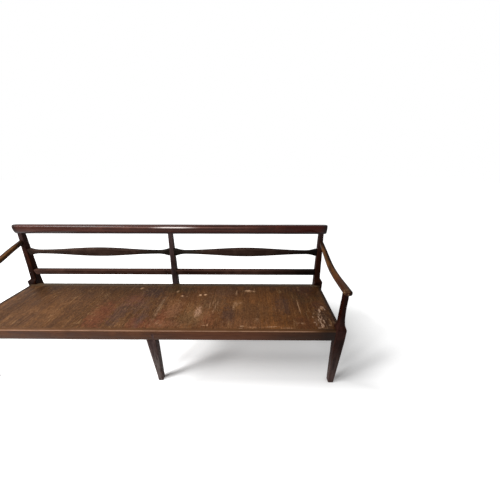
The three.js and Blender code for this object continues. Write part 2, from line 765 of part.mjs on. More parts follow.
// The stub tenons of both thin rails of the right-hand bay, run through into the posts.
function stubTenons(grow) {
  return [LOWER_RISE + LOWER_HIGH / 2, LOZENGE_RISE].map((rise) => {
    const z = heightAt(rise, BACK_RAIL_SETBACK);
    const left = postWideAt(z) / 2 - STUB_LONG - grow;
    const right = endPostSides(z)[0] + STUB_LONG + grow;
    const middle = BACK_RAIL_SETBACK + LOZENGE_DEEP / 2;
    return leaned(
      box([left, right], grown(around(middle, STUB_THICK), grow), grown(around(rise, STUB_HIGH), grow)),
    );
  });
}

function fitPost(blank, middle) {
  const lowered = solid(crestBlank().translate(0, 0, -JOINT_GAP));
  const tenon = solid(postTenons(0)[middle]);
  return carve(solid(blank).subtract(lowered).add(tenon), crestPegs(JOINT_GAP)[middle]);
}

function endPost() {
  const backMortise = box(
    [POST_INNER - OVERRUN, POST_INNER + BACK_TENON_LONG + JOINT_GAP],
    grown(BACK_TENON_Y),
    grown(TENON_Z),
  );
  const sideMortise = box(
    grown(SIDE_TENON_X),
    [POST_BLOCK_FACE - OVERRUN, POST_BLOCK_FACE + SIDE_TENON_LONG + JOINT_GAP],
    grown(TENON_Z),
  );
  const cuts = [...stubTenons(JOINT_GAP), armRearTenon(JOINT_GAP), ...sidePegs(JOINT_GAP)];
  return carve(fitPost(endPostBlank(), POST_MIDDLES.length - 1), backMortise, sideMortise, ...cuts);
}

function centrePost() {
  const stubs = stubTenons(JOINT_GAP);
  const cuts = [...stubs, ...stubs.map(mirrored), ...postScrews(JOINT_GAP)];
  return carve(fitPost(centrePostBlank(), 1), ...cuts);
}

function crestBlank() {
  const rings = [];
  for (let i = 0; i <= END_STEPS; i += 1) {
    const turn = (i / END_STEPS) * (Math.PI / 2);
    const deep = THREE.MathUtils.lerp(CREST_FLAT_SHARE, 1, Math.sin(turn));
    const high = 1 - CREST_DROP_SHARE * (1 - Math.sin(turn));
    rings.push(crestRing(CREST_HALF - CREST_END_ROUND * (1 - Math.cos(turn)), deep, high));
  }
  const left = rings.map((ring) => ring.map((point) => new THREE.Vector3(-point.x, point.y, point.z)));
  return leaned(loft([...left, ...rings.reverse()]));
}

function crestRing(x, deep, high) {
  return roundRing(CREST_SIDES, CREST_SQUARE_SHARE, (out, up) => {
    const depth = CREST_MIDDLE_DEPTH + (out * deep * CREST_DEEP) / 2;
    return new THREE.Vector3(x, depth, CREST_RISE + (up * high * CREST_HIGH) / 2);
  });
}

function crest() {
  return carve(solid(crestBlank()), ...postTenons(JOINT_GAP), ...crestPegs(JOINT_GAP));
}

// A ring across a thin back rail, with small flats on its long edges.
function railRing(x, deep, low, high) {
  const level = levelRing([0, deep], [low, high], x, EDGE_EASE);
  return level.map((point) => new THREE.Vector3(x, BACK_RAIL_SETBACK + point.x, point.y));
}

// A rail is made long, cut to the faces of its posts, and given its stub tenons.
function fitRail(blank, tenon) {
  const left = solid(centrePostBlank().translate(JOINT_GAP, 0, 0));
  const right = solid(endPostBlank().translate(-JOINT_GAP, 0, 0));
  return solid(leaned(blank)).subtract(left).subtract(right).add(solid(tenon));
}

function lowerRail() {
  const rise = [LOWER_RISE, LOWER_RISE + LOWER_HIGH];
  const ends = [0, POST_INNER + POST_WIDE / 2];
  return fitRail(loft(ends.map((x) => railRing(x, LOWER_DEEP, ...rise))), stubTenons(0)[0]);
}

// Half the height of the lozenge rail at a distance from the middle of its bay: it falls in a
// smooth wave to a neck near each post, then flares to meet the post.
function lozengeHalf(distance, bay) {
  const neckAt = bay - LOZENGE_FLARE;
  if (distance <= neckAt) {
    const wave = Math.cos((Math.PI / 2) * (distance / neckAt)) ** 2;
    return THREE.MathUtils.lerp(LOZENGE_NECK_HIGH, LOZENGE_HIGH, wave) / 2;
  }
  const flare = ((distance - neckAt) / LOZENGE_FLARE) ** 2;
  return THREE.MathUtils.lerp(LOZENGE_NECK_HIGH, LOZENGE_END_HIGH, flare) / 2;
}

function lozengeRail() {
  const z = heightAt(LOZENGE_RISE, BACK_RAIL_SETBACK);
  const inner = postWideAt(z) / 2;
  const outer = endPostSides(z)[0];
  const middle = (inner + outer) / 2;
  const bay = (outer - inner) / 2;
  const neckAt = bay - LOZENGE_FLARE;
  const steps = [];
  for (let i = -LOZENGE_STEPS / 2; i <= LOZENGE_STEPS / 2; i += 1) {
    steps.push((2 * i * neckAt) / LOZENGE_STEPS);
  }
  for (let i = 1; i <= FLARE_STEPS; i += 1) {
    const reach = neckAt + (i / FLARE_STEPS) * LOZENGE_FLARE;
    steps.unshift(-reach);
    steps.push(reach);
  }
  const rings = steps.map((x) => {
    const half = lozengeHalf(Math.abs(x), bay);
    return railRing(middle + x, LOZENGE_DEEP, LOZENGE_RISE - half, LOZENGE_RISE + half);
  });
  const stretch = (ring, by) => ring.map((point) => new THREE.Vector3(point.x + by, point.y, point.z));
  const blank = loft([stretch(rings[0], -OVERRUN), ...rings, stretch(rings.at(-1), OVERRUN)]);
  return fitRail(blank, stubTenons(0)[1]);
}

// Finishes, and the finished bench

function finish(colour, roughness, metalness = 0) {
  return new THREE.MeshStandardMaterial({ color: colour, roughness, metalness });
}

const DARK_WOOD = finish(0x3c2a24, 0.45);
const CREST_WOOD = finish(0x45281f, 0.3);
const RAIL_WOOD = finish(0x4a3026, 0.45);
const SHADED_WOOD = finish(0x2e1f19, 0.5);
const ARM_WOOD = finish(0x5c3e28, 0.4);
const BOARD_WOOD = finish(0x6b4830, 0.6);
const BARE_WOOD = finish(0x7a5c3e, 0.8);
const IRON = finish(0x3b3733, 0.6, 0.7);

const bench = new THREE.Group();

function add(name, geometry, material) {
  const facets = geometry.toNonIndexed();
  facets.computeVertexNormals();
  const mesh = new THREE.Mesh(facets, material.clone());
  mesh.name = name;
  bench.add(mesh);
}

// A piece and its mirror image at the other end of the bench.
function addPair(name, body, material) {
  const right = body.isBufferGeometry ? body : geometryOf(body);
  add(`${name}_right`, right, material);
  add(`${name}_left`, mirrored(right), material);
}

function bothEnds(shapes) {
  return [...shapes, ...shapes.map(mirrored)];
}

addPair('front_leg', frontEndLeg(), DARK_WOOD);
add('centre_front_leg', geometryOf(centreFrontLeg()), DARK_WOOD);
addPair('back_post', endPost(), DARK_WOOD);
add('centre_back_post', geometryOf(centrePost()), DARK_WOOD);
add('front_seat_rail', geometryOf(frontRail()), RAIL_WOOD);
add('back_seat_rail', geometryOf(backRail()), RAIL_WOOD);
addPair('side_seat_rail', sideRail(), RAIL_WOOD);
add('centre_cross_rail', geometryOf(crossRail()), BARE_WOOD);
addPair('back_board_cleat', cleat(), BARE_WOOD);
addPair('front_corner_block', frontCornerBlock(), BARE_WOOD);
addPair('back_corner_block', backCornerBlock(), BARE_WOOD);
add('crest_rail', geometryOf(crest()), CREST_WOOD);
addPair('lozenge_rail', lozengeRail(), SHADED_WOOD);
addPair('lower_back_rail', lowerRail(), SHADED_WOOD);
addPair('arm', arm(), ARM_WOOD);

boardEdges()
  .slice(1)
  .forEach((to, i) => {
    const name = `seat_board_${String(i + 1).padStart(2, '0')}`;
    add(name, geometryOf(seatBoard(boardEdges()[i], to)), BOARD_WOOD);
  });

const SIDES = ['left', 'middle', 'right'];
const ENDS = ['front', 'back'];
const SCREW_NAMES = ['front_block_side', 'back_block_side', 'front_block_rail', 'back_block_rail'];

crestPegs(0).forEach((peg, i) => add(`crest_peg_${SIDES[i]}`, peg, CREST_WOOD));
tonguePegs(0).forEach((peg, i) => add(`centre_leg_peg_${i + 1}`, peg, DARK_WOOD));
postScrews(0).forEach((screw, i) => add(`centre_post_screw_${i + 1}`, screw, IRON));
sidePegs(0).forEach((peg, i) => addPair(`${ENDS[i]}_side_rail_peg`, peg, DARK_WOOD));
cornerScrews(0).forEach((screw, i) => addPair(`${SCREW_NAMES[i]}_screw`, screw, IRON));

const reach = new THREE.Box3().setFromObject(bench);
bench.position.y = -(reach.min.y + reach.max.y) / 2;

export default bench;
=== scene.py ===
"""The looks of a long, worn country bench, built around its packed construction.

Metres, +X to the right, +Y to the back, +Z up. Every piece takes its sizes from the CAD node
that it dresses, and the finish of each surface comes from shader nodes in real scale.
"""

from math import atan2, ceil, copysign, cos, pi, radians, sin

import bmesh
import bpy
import numpy as np
from mathutils import Matrix, Vector, noise


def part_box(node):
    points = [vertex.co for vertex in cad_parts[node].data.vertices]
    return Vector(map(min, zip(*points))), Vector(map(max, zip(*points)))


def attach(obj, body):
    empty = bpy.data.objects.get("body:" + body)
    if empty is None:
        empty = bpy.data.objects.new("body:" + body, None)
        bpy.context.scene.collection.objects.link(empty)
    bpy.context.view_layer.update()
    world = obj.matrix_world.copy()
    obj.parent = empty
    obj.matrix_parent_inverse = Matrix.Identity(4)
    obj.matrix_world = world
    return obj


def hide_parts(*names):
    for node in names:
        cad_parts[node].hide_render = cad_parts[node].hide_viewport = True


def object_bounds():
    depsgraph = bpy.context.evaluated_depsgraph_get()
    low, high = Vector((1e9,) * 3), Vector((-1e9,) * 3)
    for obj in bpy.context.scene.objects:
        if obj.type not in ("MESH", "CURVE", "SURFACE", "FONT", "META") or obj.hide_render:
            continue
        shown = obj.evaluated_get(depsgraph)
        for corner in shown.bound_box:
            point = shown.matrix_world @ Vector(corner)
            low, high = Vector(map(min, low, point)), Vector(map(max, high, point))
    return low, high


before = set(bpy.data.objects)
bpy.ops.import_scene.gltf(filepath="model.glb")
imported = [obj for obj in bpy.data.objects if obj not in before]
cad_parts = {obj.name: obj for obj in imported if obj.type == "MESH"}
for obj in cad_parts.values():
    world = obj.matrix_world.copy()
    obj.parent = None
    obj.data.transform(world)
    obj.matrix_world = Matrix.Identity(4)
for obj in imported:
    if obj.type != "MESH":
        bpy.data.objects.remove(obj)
cad_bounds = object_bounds()

MM = 0.001
AXES = {"x": 0, "y": 1, "z": 2}


# Places read from the frame


def node_lines(node):
    """The two ends of each edge of a CAD node, as two arrays."""
    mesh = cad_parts[node].data
    points = np.array([v.co for v in mesh.vertices])
    edges = np.array([e.vertices[:] for e in mesh.edges])
    return points[edges[:, 0]], points[edges[:, 1]]


def turned(points, angle):
    """Points turned about the X axis, by an angle in radians."""
    c, s = cos(angle), sin(angle)
    y, z = points[:, 1], points[:, 2]
    return np.stack([points[:, 0], c * y - s * z, s * y + c * z], axis=1)


def cut_spans(node, axis, values, lean=0.0):
    """The lowest and highest corner of a node's section at each value along an axis."""
    first, second = (turned(p, -lean) for p in node_lines(node))
    k = AXES[axis]
    spans = []
    for value in values:
        crossing = (first[:, k] - value) * (second[:, k] - value) < 0
        a, b = first[crossing], second[crossing]
        share = ((value - a[:, k]) / (b[:, k] - a[:, k]))[:, None]
        section = a + (b - a) * share
        spans.append((section.min(axis=0), section.max(axis=0)))
    return spans


CORNER_DECIMALS = 4  # corners that round to the same value count as one
CUT_MARGIN = 0.25 * MM  # how far a cut stays from a corner


def node_levels(node, axis, step, lean=0.0):
    """Values along an axis where a node changes shape, and more between them, a step apart."""
    ends = turned(node_lines(node)[0], -lean)[:, AXES[axis]]
    corners = sorted(set(np.round(ends, CORNER_DECIMALS)))
    levels = [corners[0] + CUT_MARGIN]
    for low, high in zip(corners, corners[1:]):
        parts = max(1, ceil((high - low) / step))
        levels += [low + (high - low) * (i + 1) / parts - CUT_MARGIN for i in range(parts)]
    keep = [levels[0]]
    for level in levels[1:]:
        if level - keep[-1] > MM:
            keep.append(level)
    return keep


RAIL_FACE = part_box("front_seat_rail")[0][1]
SEAT_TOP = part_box("front_seat_rail")[1][2]
RAIL_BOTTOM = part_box("front_seat_rail")[0][2]
SEAT_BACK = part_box("back_seat_rail")[1][1]
ARM_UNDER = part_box("arm_right")[0][2]
CREST_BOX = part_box("crest_rail")
MID_BAY = 0.3  # where the crest and the front rail are at their fullest
FRAME_DROP = 0.03  # from the seat's top to a height that cuts the seat frame
SLOPE_FOOT = 0.1  # from the seat's top to where the back's slope is measured from
SLOPE_RISE = 0.2


def at_frame(node):
    """The lowest and highest corner of a leg's or post's section, level with the seat frame."""
    return cut_spans(node, "z", [SEAT_TOP - FRAME_DROP])[0]


def back_slope():
    """The slope of the back, from the front face of the centre post."""
    heights = [SEAT_TOP + SLOPE_FOOT, SEAT_TOP + SLOPE_FOOT + SLOPE_RISE]
    low, high = (span[0][1] for span in cut_spans("centre_back_post", "z", heights))
    return atan2(high - low, SLOPE_RISE)


RAKE = back_slope()


# Camera, as the photograph was taken

CAMERA_RIGHT = 0.566089
CAMERA_AWAY = 0.943080  # in front of the rail's face
CAMERA_HEIGHT = 1.313866
PITCH = radians(23.561)
YAW = radians(0.418)
ROLL = radians(-0.010)
FOCAL_PIXELS = 222.959
PHOTO_PIXELS = 500
SENSOR = 36.0


def add_camera():
    ahead = Vector((-sin(YAW) * cos(PITCH), cos(YAW) * cos(PITCH), -sin(PITCH)))
    right = Vector((cos(YAW), sin(YAW), 0))
    up = right.cross(ahead)
    right, up = right * cos(ROLL) + up * sin(ROLL), up * cos(ROLL) - right * sin(ROLL)
    data = bpy.data.cameras.new("photo_camera")
    data.sensor_width = SENSOR
    data.lens = SENSOR * FOCAL_PIXELS / PHOTO_PIXELS
    camera = bpy.data.objects.new("photo_camera", data)
    turn = Matrix((right, up, -ahead)).transposed().to_4x4()
    place = Vector((CAMERA_RIGHT, RAIL_FACE - CAMERA_AWAY, CAMERA_HEIGHT))
    camera.matrix_world = Matrix.Translation(place) @ turn
    bpy.context.collection.objects.link(camera)
    bpy.context.scene.camera = camera


# Shader helpers

SPECULAR = 0.1


def tint(code):
    """A linear colour from a six-figure sRGB code."""
    parts = [int(code[i:i + 2], 16) / 255 for i in (0, 2, 4)]
    return tuple(p / 12.92 if p <= 0.04045 else ((p + 0.055) / 1.055) ** 2.4 for p in parts) + (1.0,)


class Nodes:
    """A node tree built by short calls."""

    def __init__(self, tree):
        self.tree = tree

    def node(self, kind, settings=None, inputs=None):
        node = self.tree.nodes.new("ShaderNode" + kind)
        for key, value in (settings or {}).items():
            setattr(node, key, value)
        for key, value in (inputs or {}).items():
            self.feed(node.inputs[key], value)
        return node

    def feed(self, socket, value):
        if isinstance(value, bpy.types.NodeSocket):
            self.tree.links.new(value, socket)
        elif value is not None:
            socket.default_value = value

    def math(self, operation, a, b=None):
        node = self.node("Math", {"operation": operation})
        self.feed(node.inputs[0], a)
        self.feed(node.inputs[1], b)
        return node.outputs[0]

    def seen(self):
        """1 for the rays that show the background: straight, mirrored or through glass."""
        rays = self.node("LightPath").outputs
        first = self.math("MAXIMUM", rays["Is Camera Ray"], rays["Is Glossy Ray"])
        return self.math("MAXIMUM", first, rays["Is Transmission Ray"])


class Finish(Nodes):
    """A material and the patterns in it."""

    def __init__(self, name):
        self.material = bpy.data.materials.new(name)
        self.material.use_nodes = True
        super().__init__(self.material.node_tree)
        self.shader = self.tree.nodes["Principled BSDF"]
        self.place = self.node("TexCoord").outputs["Object"]

    def mix(self, share, a, b, blend="MIX"):
        node = self.node("Mix", {"data_type": "RGBA", "blend_type": blend, "clamp_factor": True})
        self.feed(node.inputs["Factor"], share)
        self.feed(node.inputs[6], a)
        self.feed(node.inputs[7], b)
        return node.outputs[2]

    def stretched(self, scale, offset=(0, 0, 0)):
        inputs = {"Vector": self.place, "Scale": scale, "Location": offset}
        return self.node("Mapping", inputs=inputs).outputs[0]

    def noise(self, vector, scale, detail, rough, swirl=0.0):
        inputs = {"Vector": vector, "Scale": scale, "Detail": detail, "Roughness": rough, "Distortion": swirl}
        return self.node("TexNoise", inputs=inputs).outputs["Fac"]

    def ramp(self, value, low, high, out_low=0.0, out_high=1.0):
        """A smooth step from one value to another."""
        inputs = {"Value": value, "From Min": low, "From Max": high, "To Min": out_low, "To Max": out_high}
        return self.node("MapRange", {"interpolation_type": "SMOOTHSTEP"}, inputs).outputs[0]

    def attribute(self, name):
        return self.node("Attribute", {"attribute_name": name}).outputs["Fac"]

    def along(self, axis):
        """The distance along one axis of the bench, in metres."""
        return self.node("SeparateXYZ", inputs={"Vector": self.place}).outputs[axis.upper()]

    def outwards(self):
        """The distance from the middle of the bench, to either side."""
        return self.math("ABSOLUTE", self.along("x"))

    def apart(self, value, centre):
        """How far a value is from a centre, to either side."""
        return self.math("ABSOLUTE", self.math("SUBTRACT", value, centre))

    def length(self, vector):
        return self.node("VectorMath", {"operation": "LENGTH"}, {"Vector": vector}).outputs["Value"]

    def product(self, *values):
        total = values[0]
        for value in values[1:]:
            total = self.math("MULTIPLY", total, value)
        return total

    def bump(self, height, depth):
        inputs = {"Height": height, "Distance": depth, "Strength": 1.0}
        return self.node("Bump", inputs=inputs).outputs[0]

    def finish(self, colour, roughness, normal, specular):
        self.feed(self.shader.inputs["Base Color"], colour)
        self.feed(self.shader.inputs["Roughness"], roughness)
        self.feed(self.shader.inputs["Normal"], normal)
        self.shader.inputs["Specular IOR Level"].default_value = specular
        return self.material


# Wood: features per metre along the grain and across it, or the same in all directions

FIBRE = (9.0, 420.0)
FIGURE = (1.5, 38.0)
STREAK = (11.0, 105.0)
BLOTCH = 9.0
SPECK = 140.0
RAG = 45.0
EDGE_PATCH = 30.0
SEED_SHIFT = (1.7, 2.3, 0.9)  # how far each step of the seed moves the pattern
MIDDLE = (0.3, 0.7)  # the part of a noise that holds most of it
GRAIN_DEPTH = 0.35 * MM


class Wood(Finish):
    """Stained wood: fibres and figure along the grain, blotches and worn edges."""

    def __init__(self, name, grain, deep, mid, light, seed):
        super().__init__(name)
        shift = tuple(seed * step for step in SEED_SHIFT)

        def drawn_out(scales, *shape):
            scale = [scales[0 if axis == grain else 1] for axis in AXES]
            return self.noise(self.stretched(scale, shift), 1.0, *shape)

        self.fibre = drawn_out(FIBRE, 4.0, 0.6)
        self.figure = drawn_out(FIGURE, 3.0, 0.5, 0.6)
        self.streak = drawn_out(STREAK, 3.0, 0.6, 0.4)
        even = self.stretched((1, 1, 1), shift)
        self.blotch = self.noise(even, BLOTCH, 5.0, 0.6, 0.3)
        self.speck = self.noise(even, SPECK, 4.0, 0.65)
        self.rag = self.noise(self.place, RAG, 4.0, 0.65)
        self.height = self.math("ADD", self.product(self.fibre, 0.6), self.product(self.speck, 0.4))
        self.colour = self.mix(self.ramp(self.figure, 0.34, 0.66), tint(deep), tint(mid))
        self.paint(light, self.ramp(self.blotch, 0.46, 0.68), 0.7)
        self.shade(self.ramp(self.fibre, *MIDDLE, 0.8, 1.2))

    def shade(self, factor):
        """Scales the colour's brightness."""
        node = self.node("VectorMath", {"operation": "SCALE"})
        self.feed(node.inputs[0], self.colour)
        self.feed(node.inputs["Scale"], factor)
        self.colour = node.outputs[0]

    def streaks(self, contrast):
        """Lighter and darker streaks along the grain."""
        self.shade(self.ramp(self.streak, *MIDDLE, 1.0 - contrast, 1.0 + contrast))

    def painted_shade_right(self, near, far, least):
        """Painted shade: darker towards the right end of the bench, where less light falls."""
        self.shade(self.ramp(self.along("x"), near, far, 1.0, least))

    def paint(self, code, *masks, blend="MIX"):
        """Lays a colour over the wood, as strong as the product of the masks and numbers."""
        self.colour = self.mix(self.product(*masks), self.colour, tint(code), blend)

    def wash(self, code, *masks):
        """Stains the wood: multiplies its colour instead."""
        self.paint(code, *masks, blend="MULTIPLY")

    def zone(self, x, y, half_x, half_y, ragged, soft, rag=None):
        """1 inside an oval patch of the seat, given in millimetres from the rail's face."""
        place = (-x / half_x, -(RAIL_FACE / MM + y) / half_y, 0)
        far = self.length(self.stretched((1 / MM / half_x, 1 / MM / half_y, 0), place))
        torn = self.product(self.math("SUBTRACT", rag or self.rag, 0.5), 4 * ragged)
        return self.ramp(self.math("ADD", far, torn), 1.0 + soft / 2, 1.0 - soft / 2)

    def wear_edges(self, code, amount):
        """Lighter wood where the stain is rubbed off the edges."""
        patchy = self.ramp(self.noise(self.place, EDGE_PATCH, 5.0, 0.65), 0.36, 0.62)
        self.paint(code, self.attribute("edge"), patchy, amount)

    def done(self, roughness=0.5, spread=0.16, specular=SPECULAR, depth=GRAIN_DEPTH):
        rough = self.ramp(self.blotch, 0.35, 0.65, roughness - spread / 2, roughness + spread / 2)
        return self.finish(self.colour, rough, self.bump(self.height, depth), specular)


# Mesh builders

CORNER_STEPS = 3
EDGE_REACH = 6 * MM  # how far wear runs in from an edge
FLAT_STEPS = 3


def rounded_box(x, y, radius):
    """Points round a rectangle with rounded corners, and how near each is to an edge."""
    points, nearness = [], []
    for i, (right, upper) in enumerate(((0, 0), (1, 0), (1, 1), (0, 1))):
        middle = (x[right] + radius * (1 - 2 * right), y[upper] + radius * (1 - 2 * upper))
        for step in range(CORNER_STEPS + 1):
            angle = radians(180 + 90 * (i + step / CORNER_STEPS))
            points.append((middle[0] + radius * cos(angle), middle[1] + radius * sin(angle)))
        last = points[-1]
        way = ((1, 0), (0, 1), (-1, 0), (0, -1))[i]
        length = (x[1] - x[0], y[1] - y[0])[i % 2] - 2 * radius
        reach = min(EDGE_REACH, length / 3)
        for step in range(FLAT_STEPS):
            along = reach + (length - 2 * reach) * step / (FLAT_STEPS - 1)
            points.append((last[0] + way[0] * along, last[1] + way[1] * along))
        nearness += [1.0] * (CORNER_STEPS + 1) + [0.0] * FLAT_STEPS
    return points, nearness


def oval(x, y, square, sides):
    """Points round a squared oval that fills a rectangle."""
    points = []
    for i in range(sides):
        angle = 2 * pi * i / sides
        c, s = cos(angle), sin(angle)
        px = copysign(abs(c) ** square, c)
        py = copysign(abs(s) ** square, s)
        points.append(((x[0] + x[1] + px * (x[1] - x[0])) / 2, (y[0] + y[1] + py * (y[1] - y[0])) / 2))
    return points


def skin(name, rings, nearness=None):
    """A closed mesh over rings of points, with a flat cap at each end."""
    mesh = bpy.data.meshes.new(name)
    form = bmesh.new()
    rows = [[form.verts.new(p) for p in ring] for ring in rings]
    for low, high in zip(rows, rows[1:]):
        for i in range(len(low)):
            j = (i + 1) % len(low)
            form.faces.new((low[i], low[j], high[j], high[i]))
    form.faces.new(list(reversed(rows[0])))
    form.faces.new(rows[-1])
    bmesh.ops.recalc_face_normals(form, faces=form.faces)
    form.to_mesh(mesh)
    form.free()
    if nearness:
        set_attribute(mesh, "edge", nearness * len(rings))
    return mesh


def set_attribute(mesh, name, values):
    attribute = mesh.attributes.new(name, "FLOAT", "POINT")
    attribute.data.foreach_set("value", np.array(values, dtype=np.float32))


WAVE_SIZE = 0.11  # of the surface's slow waves
WAVE_DEPTH = 0.35 * MM
DENT_SIZE = 0.022
DENT_DEPTH = 2.2 * MM
DENT_LEVEL = 0.28  # noise over this level is a dent
WEATHER_SHIFT = (3.1, 1.3, 2.7)
GROW = 0.7 * MM  # a thick old finish over the wood
POST_GROW = 2.0 * MM
SHARP_ANGLE = radians(48)


def weather(mesh, seed, wave=WAVE_DEPTH, dent=DENT_DEPTH, grow=GROW):
    """Slow waves over the whole surface, and dents knocked into its edges."""
    away = Vector([seed * step for step in WEATHER_SHIFT])
    edge = mesh.attributes.get("edge")
    normals = [v.normal.copy() for v in mesh.vertices]
    for vertex, normal in zip(mesh.vertices, normals):
        move = grow + wave * noise.noise((vertex.co + away) / WAVE_SIZE)
        if edge and edge.data[vertex.index].value > 0.5:
            knock = noise.noise((vertex.co - away) / DENT_SIZE)
            move -= dent * max(0.0, knock - DENT_LEVEL)
        vertex.co = Vector(np.clip(vertex.co + normal * move, *cad_bounds))


def add_piece(mesh, material, *nodes):
    """Shows a mesh in place of CAD nodes, smooth over curves and sharp at corners."""
    for face in mesh.polygons:
        face.use_smooth = True
    mesh.set_sharp_from_angle(angle=SHARP_ANGLE)
    mesh.materials.append(material)
    piece = bpy.data.objects.new(mesh.name, mesh)
    bpy.context.collection.objects.link(piece)
    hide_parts(*nodes)
    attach(piece, "root")


# Legs and posts: level rings up the CAD node

LEG_ROUND = 2.6 * MM
RING_STEP = 11 * MM


def upright(node, material, seed, top=None, grow=GROW):
    """A leg or post that follows its CAD node's width and depth up to a height."""
    levels = node_levels(node, "z", RING_STEP)
    if top:
        levels = [z for z in levels if z < top] + [top]
    rings, nearness = [], None
    for z, (low, high) in zip(levels, cut_spans(node, "z", levels)):
        ring, nearness = rounded_box((low[0], high[0]), (low[1], high[1]), LEG_ROUND)
        rings.append([(x, y, z) for x, y in ring])
    mesh = skin(node + "_wood", rings, nearness)
    weather(mesh, seed, grow=grow)
    add_piece(mesh, material, node)


# Shapes of single pieces

POST_TUCK = 3 * MM  # how far a piece runs into the one that it meets
BAR_STEP = 14 * MM
STUB_CLEAR = 10 * MM  # from a thin rail's end to just past the post's face
END_CLEAR = 2 * MM  # least distance from a rail's end to its next ring
THIN_RAIL_DENT = 1.0 * MM


def sloped(x, ring):
    """A ring of points across the bench at a place along it, in the slope of the back."""
    return turned(np.array([(x, y, z) for y, z in ring]), RAKE)


def rail_between(name, node, material, radius, seed):
    """A thin back rail, from post to post, lying in the slope of the back."""
    low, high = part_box(node)[0][0] + STUB_CLEAR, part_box(node)[1][0] - STUB_CLEAR
    levels = [x for x in node_levels(node, "x", BAR_STEP, RAKE) if low + END_CLEAR < x < high - END_CLEAR]
    spans = cut_spans(node, "x", levels, RAKE)
    levels = [low - POST_TUCK] + levels + [high + POST_TUCK]
    spans = [spans[0]] + spans + [spans[-1]]
    rings, nearness = [], None
    for x, (lowest, highest) in zip(levels, spans):
        ring, nearness = rounded_box((lowest[1], highest[1]), (lowest[2], highest[2]), radius)
        rings.append(sloped(x, ring))
    mesh = skin(name, rings, nearness)
    weather(mesh, seed, dent=THIN_RAIL_DENT)
    add_piece(mesh, material, node)


CREST_SIDES = 48
CREST_SQUARE = 0.72
CREST_GROW = 1.6 * MM
CREST_WAVE = 0.6 * MM
CREST_STEP = 16 * MM
CREST_END = 20 * MM  # length of the rounding at each end
CREST_END_FLAT = 0.34  # depth of the flat end against the full section
CREST_END_DROP = 0.07
CREST_END_STEPS = 12
CREST_END_POWER = 0.8  # below 1 the end is fuller than a quarter circle


def crest_rail(material):
    low, high = CREST_BOX[0][0], CREST_BOX[1][0]
    lowest, highest = cut_spans("crest_rail", "x", [MID_BAY], RAKE)[0]
    middle, half = (lowest + highest) / 2, (highest - lowest) / 2
    stations = []
    for i in range(CREST_END_STEPS):
        turn = i / CREST_END_STEPS * pi / 2
        deep = CREST_END_FLAT + (1 - CREST_END_FLAT) * sin(turn) ** CREST_END_POWER
        stations.append((CREST_END * (1 - cos(turn)), deep, 1 - CREST_END_DROP * (1 - sin(turn))))
    count = round((high - low) / CREST_STEP)
    straight = high - low - 2 * CREST_END
    rows = [(low + x, deep, tall) for x, deep, tall in stations]
    rows += [(low + CREST_END + straight * i / count, 1, 1) for i in range(count + 1)]
    rows += [(high - x, deep, tall) for x, deep, tall in stations[::-1]]
    rings = []
    for x, deep, tall in rows:
        y = (middle[1] - half[1] * deep, middle[1] + half[1] * deep)
        z = (middle[2] - half[2] * tall, middle[2] + half[2] * tall)
        rings.append(sloped(x, oval(y, z, CREST_SQUARE, CREST_SIDES)))
    mesh = skin("crest", rings)
    weather(mesh, 4, wave=CREST_WAVE, grow=CREST_GROW)
    add_piece(mesh, material, "crest_rail")


ARM_SIDES = 28
ARM_SQUARE = 0.55
ARM_GROW = 1.4 * MM
ARM_WAVE = 0.5 * MM
ARM_NOSE = 13 * MM
ARM_NOSE_FLAT = 0.5
ARM_NOSE_STEPS = 8
ARM_NOSE_POWER = 0.85
ARM_STEP = 9 * MM
ARM_LEAD = 2 * MM  # from the nose to the first section
ARM_CLEAR = 1 * MM  # from the last section to the post
ARM_MEETS = 30 * MM  # below the arm's highest point, where it meets the post
ARM_TUCK = 14 * MM  # how far the arm runs into the sloping post
ARM_SLOPE_STEPS = 3  # sections that give the slope of its end


def smoothed(rows, rounds=3):
    """Rows of numbers averaged with their neighbours, the ends kept."""
    values = np.array(rows)
    for _ in range(rounds):
        values[1:-1] = (values[:-2] + 2 * values[1:-1] + values[2:]) / 4
    return values


def arm_piece(side, material):
    node = f"arm_{side}"
    front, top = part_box(node)[0][1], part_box(node)[1][2]
    post = cut_spans(f"back_post_{side}", "z", [top - ARM_MEETS])[0][0][1]
    count = round((post - front - ARM_NOSE) / ARM_STEP)
    start, length = front + ARM_NOSE + ARM_LEAD, post - front - ARM_NOSE - ARM_LEAD - ARM_CLEAR
    places = [start + length * i / count for i in range(count + 1)]
    cuts = cut_spans(node, "y", places)
    spans = smoothed([(y, *low[[0, 2]], *high[[0, 2]]) for y, (low, high) in zip(places, cuts)])
    first, last, before = spans[0], spans[-1], spans[-1 - ARM_SLOPE_STEPS]
    slope = (last[1:] - before[1:]) / (last[0] - before[0])
    end = post + ARM_TUCK
    rows = [tuple(row) for row in spans] + [(end, *(last[1:] + slope * (end - last[0])))]
    centre = (first[[1, 2, 1, 2]] + first[[3, 4, 3, 4]]) / 2
    nose = []
    for i in range(ARM_NOSE_STEPS):
        turn = i / ARM_NOSE_STEPS * pi / 2
        size = ARM_NOSE_FLAT + (1 - ARM_NOSE_FLAT) * sin(turn) ** ARM_NOSE_POWER
        nose.append((front + ARM_NOSE * (1 - cos(turn)), *(centre + (first[1:] - centre) * size)))
    rings = []
    for y, x0, z0, x1, z1 in nose + rows:
        rings.append([(x, y, z) for z, x in oval((z0, z1), (x0, x1), ARM_SQUARE, ARM_SIDES)])
    mesh = skin(node + "_wood", rings)
    points = np.abs(rings)
    low, high = points.min(axis=1, keepdims=True), points.max(axis=1, keepdims=True)
    shares = (points - low) / np.maximum(high - low, MM)
    set_attribute(mesh, "out", shares[:, :, 0].ravel())
    set_attribute(mesh, "up", shares[:, :, 2].ravel())
    weather(mesh, 9, wave=ARM_WAVE, grow=ARM_GROW)
    add_piece(mesh, material, node)


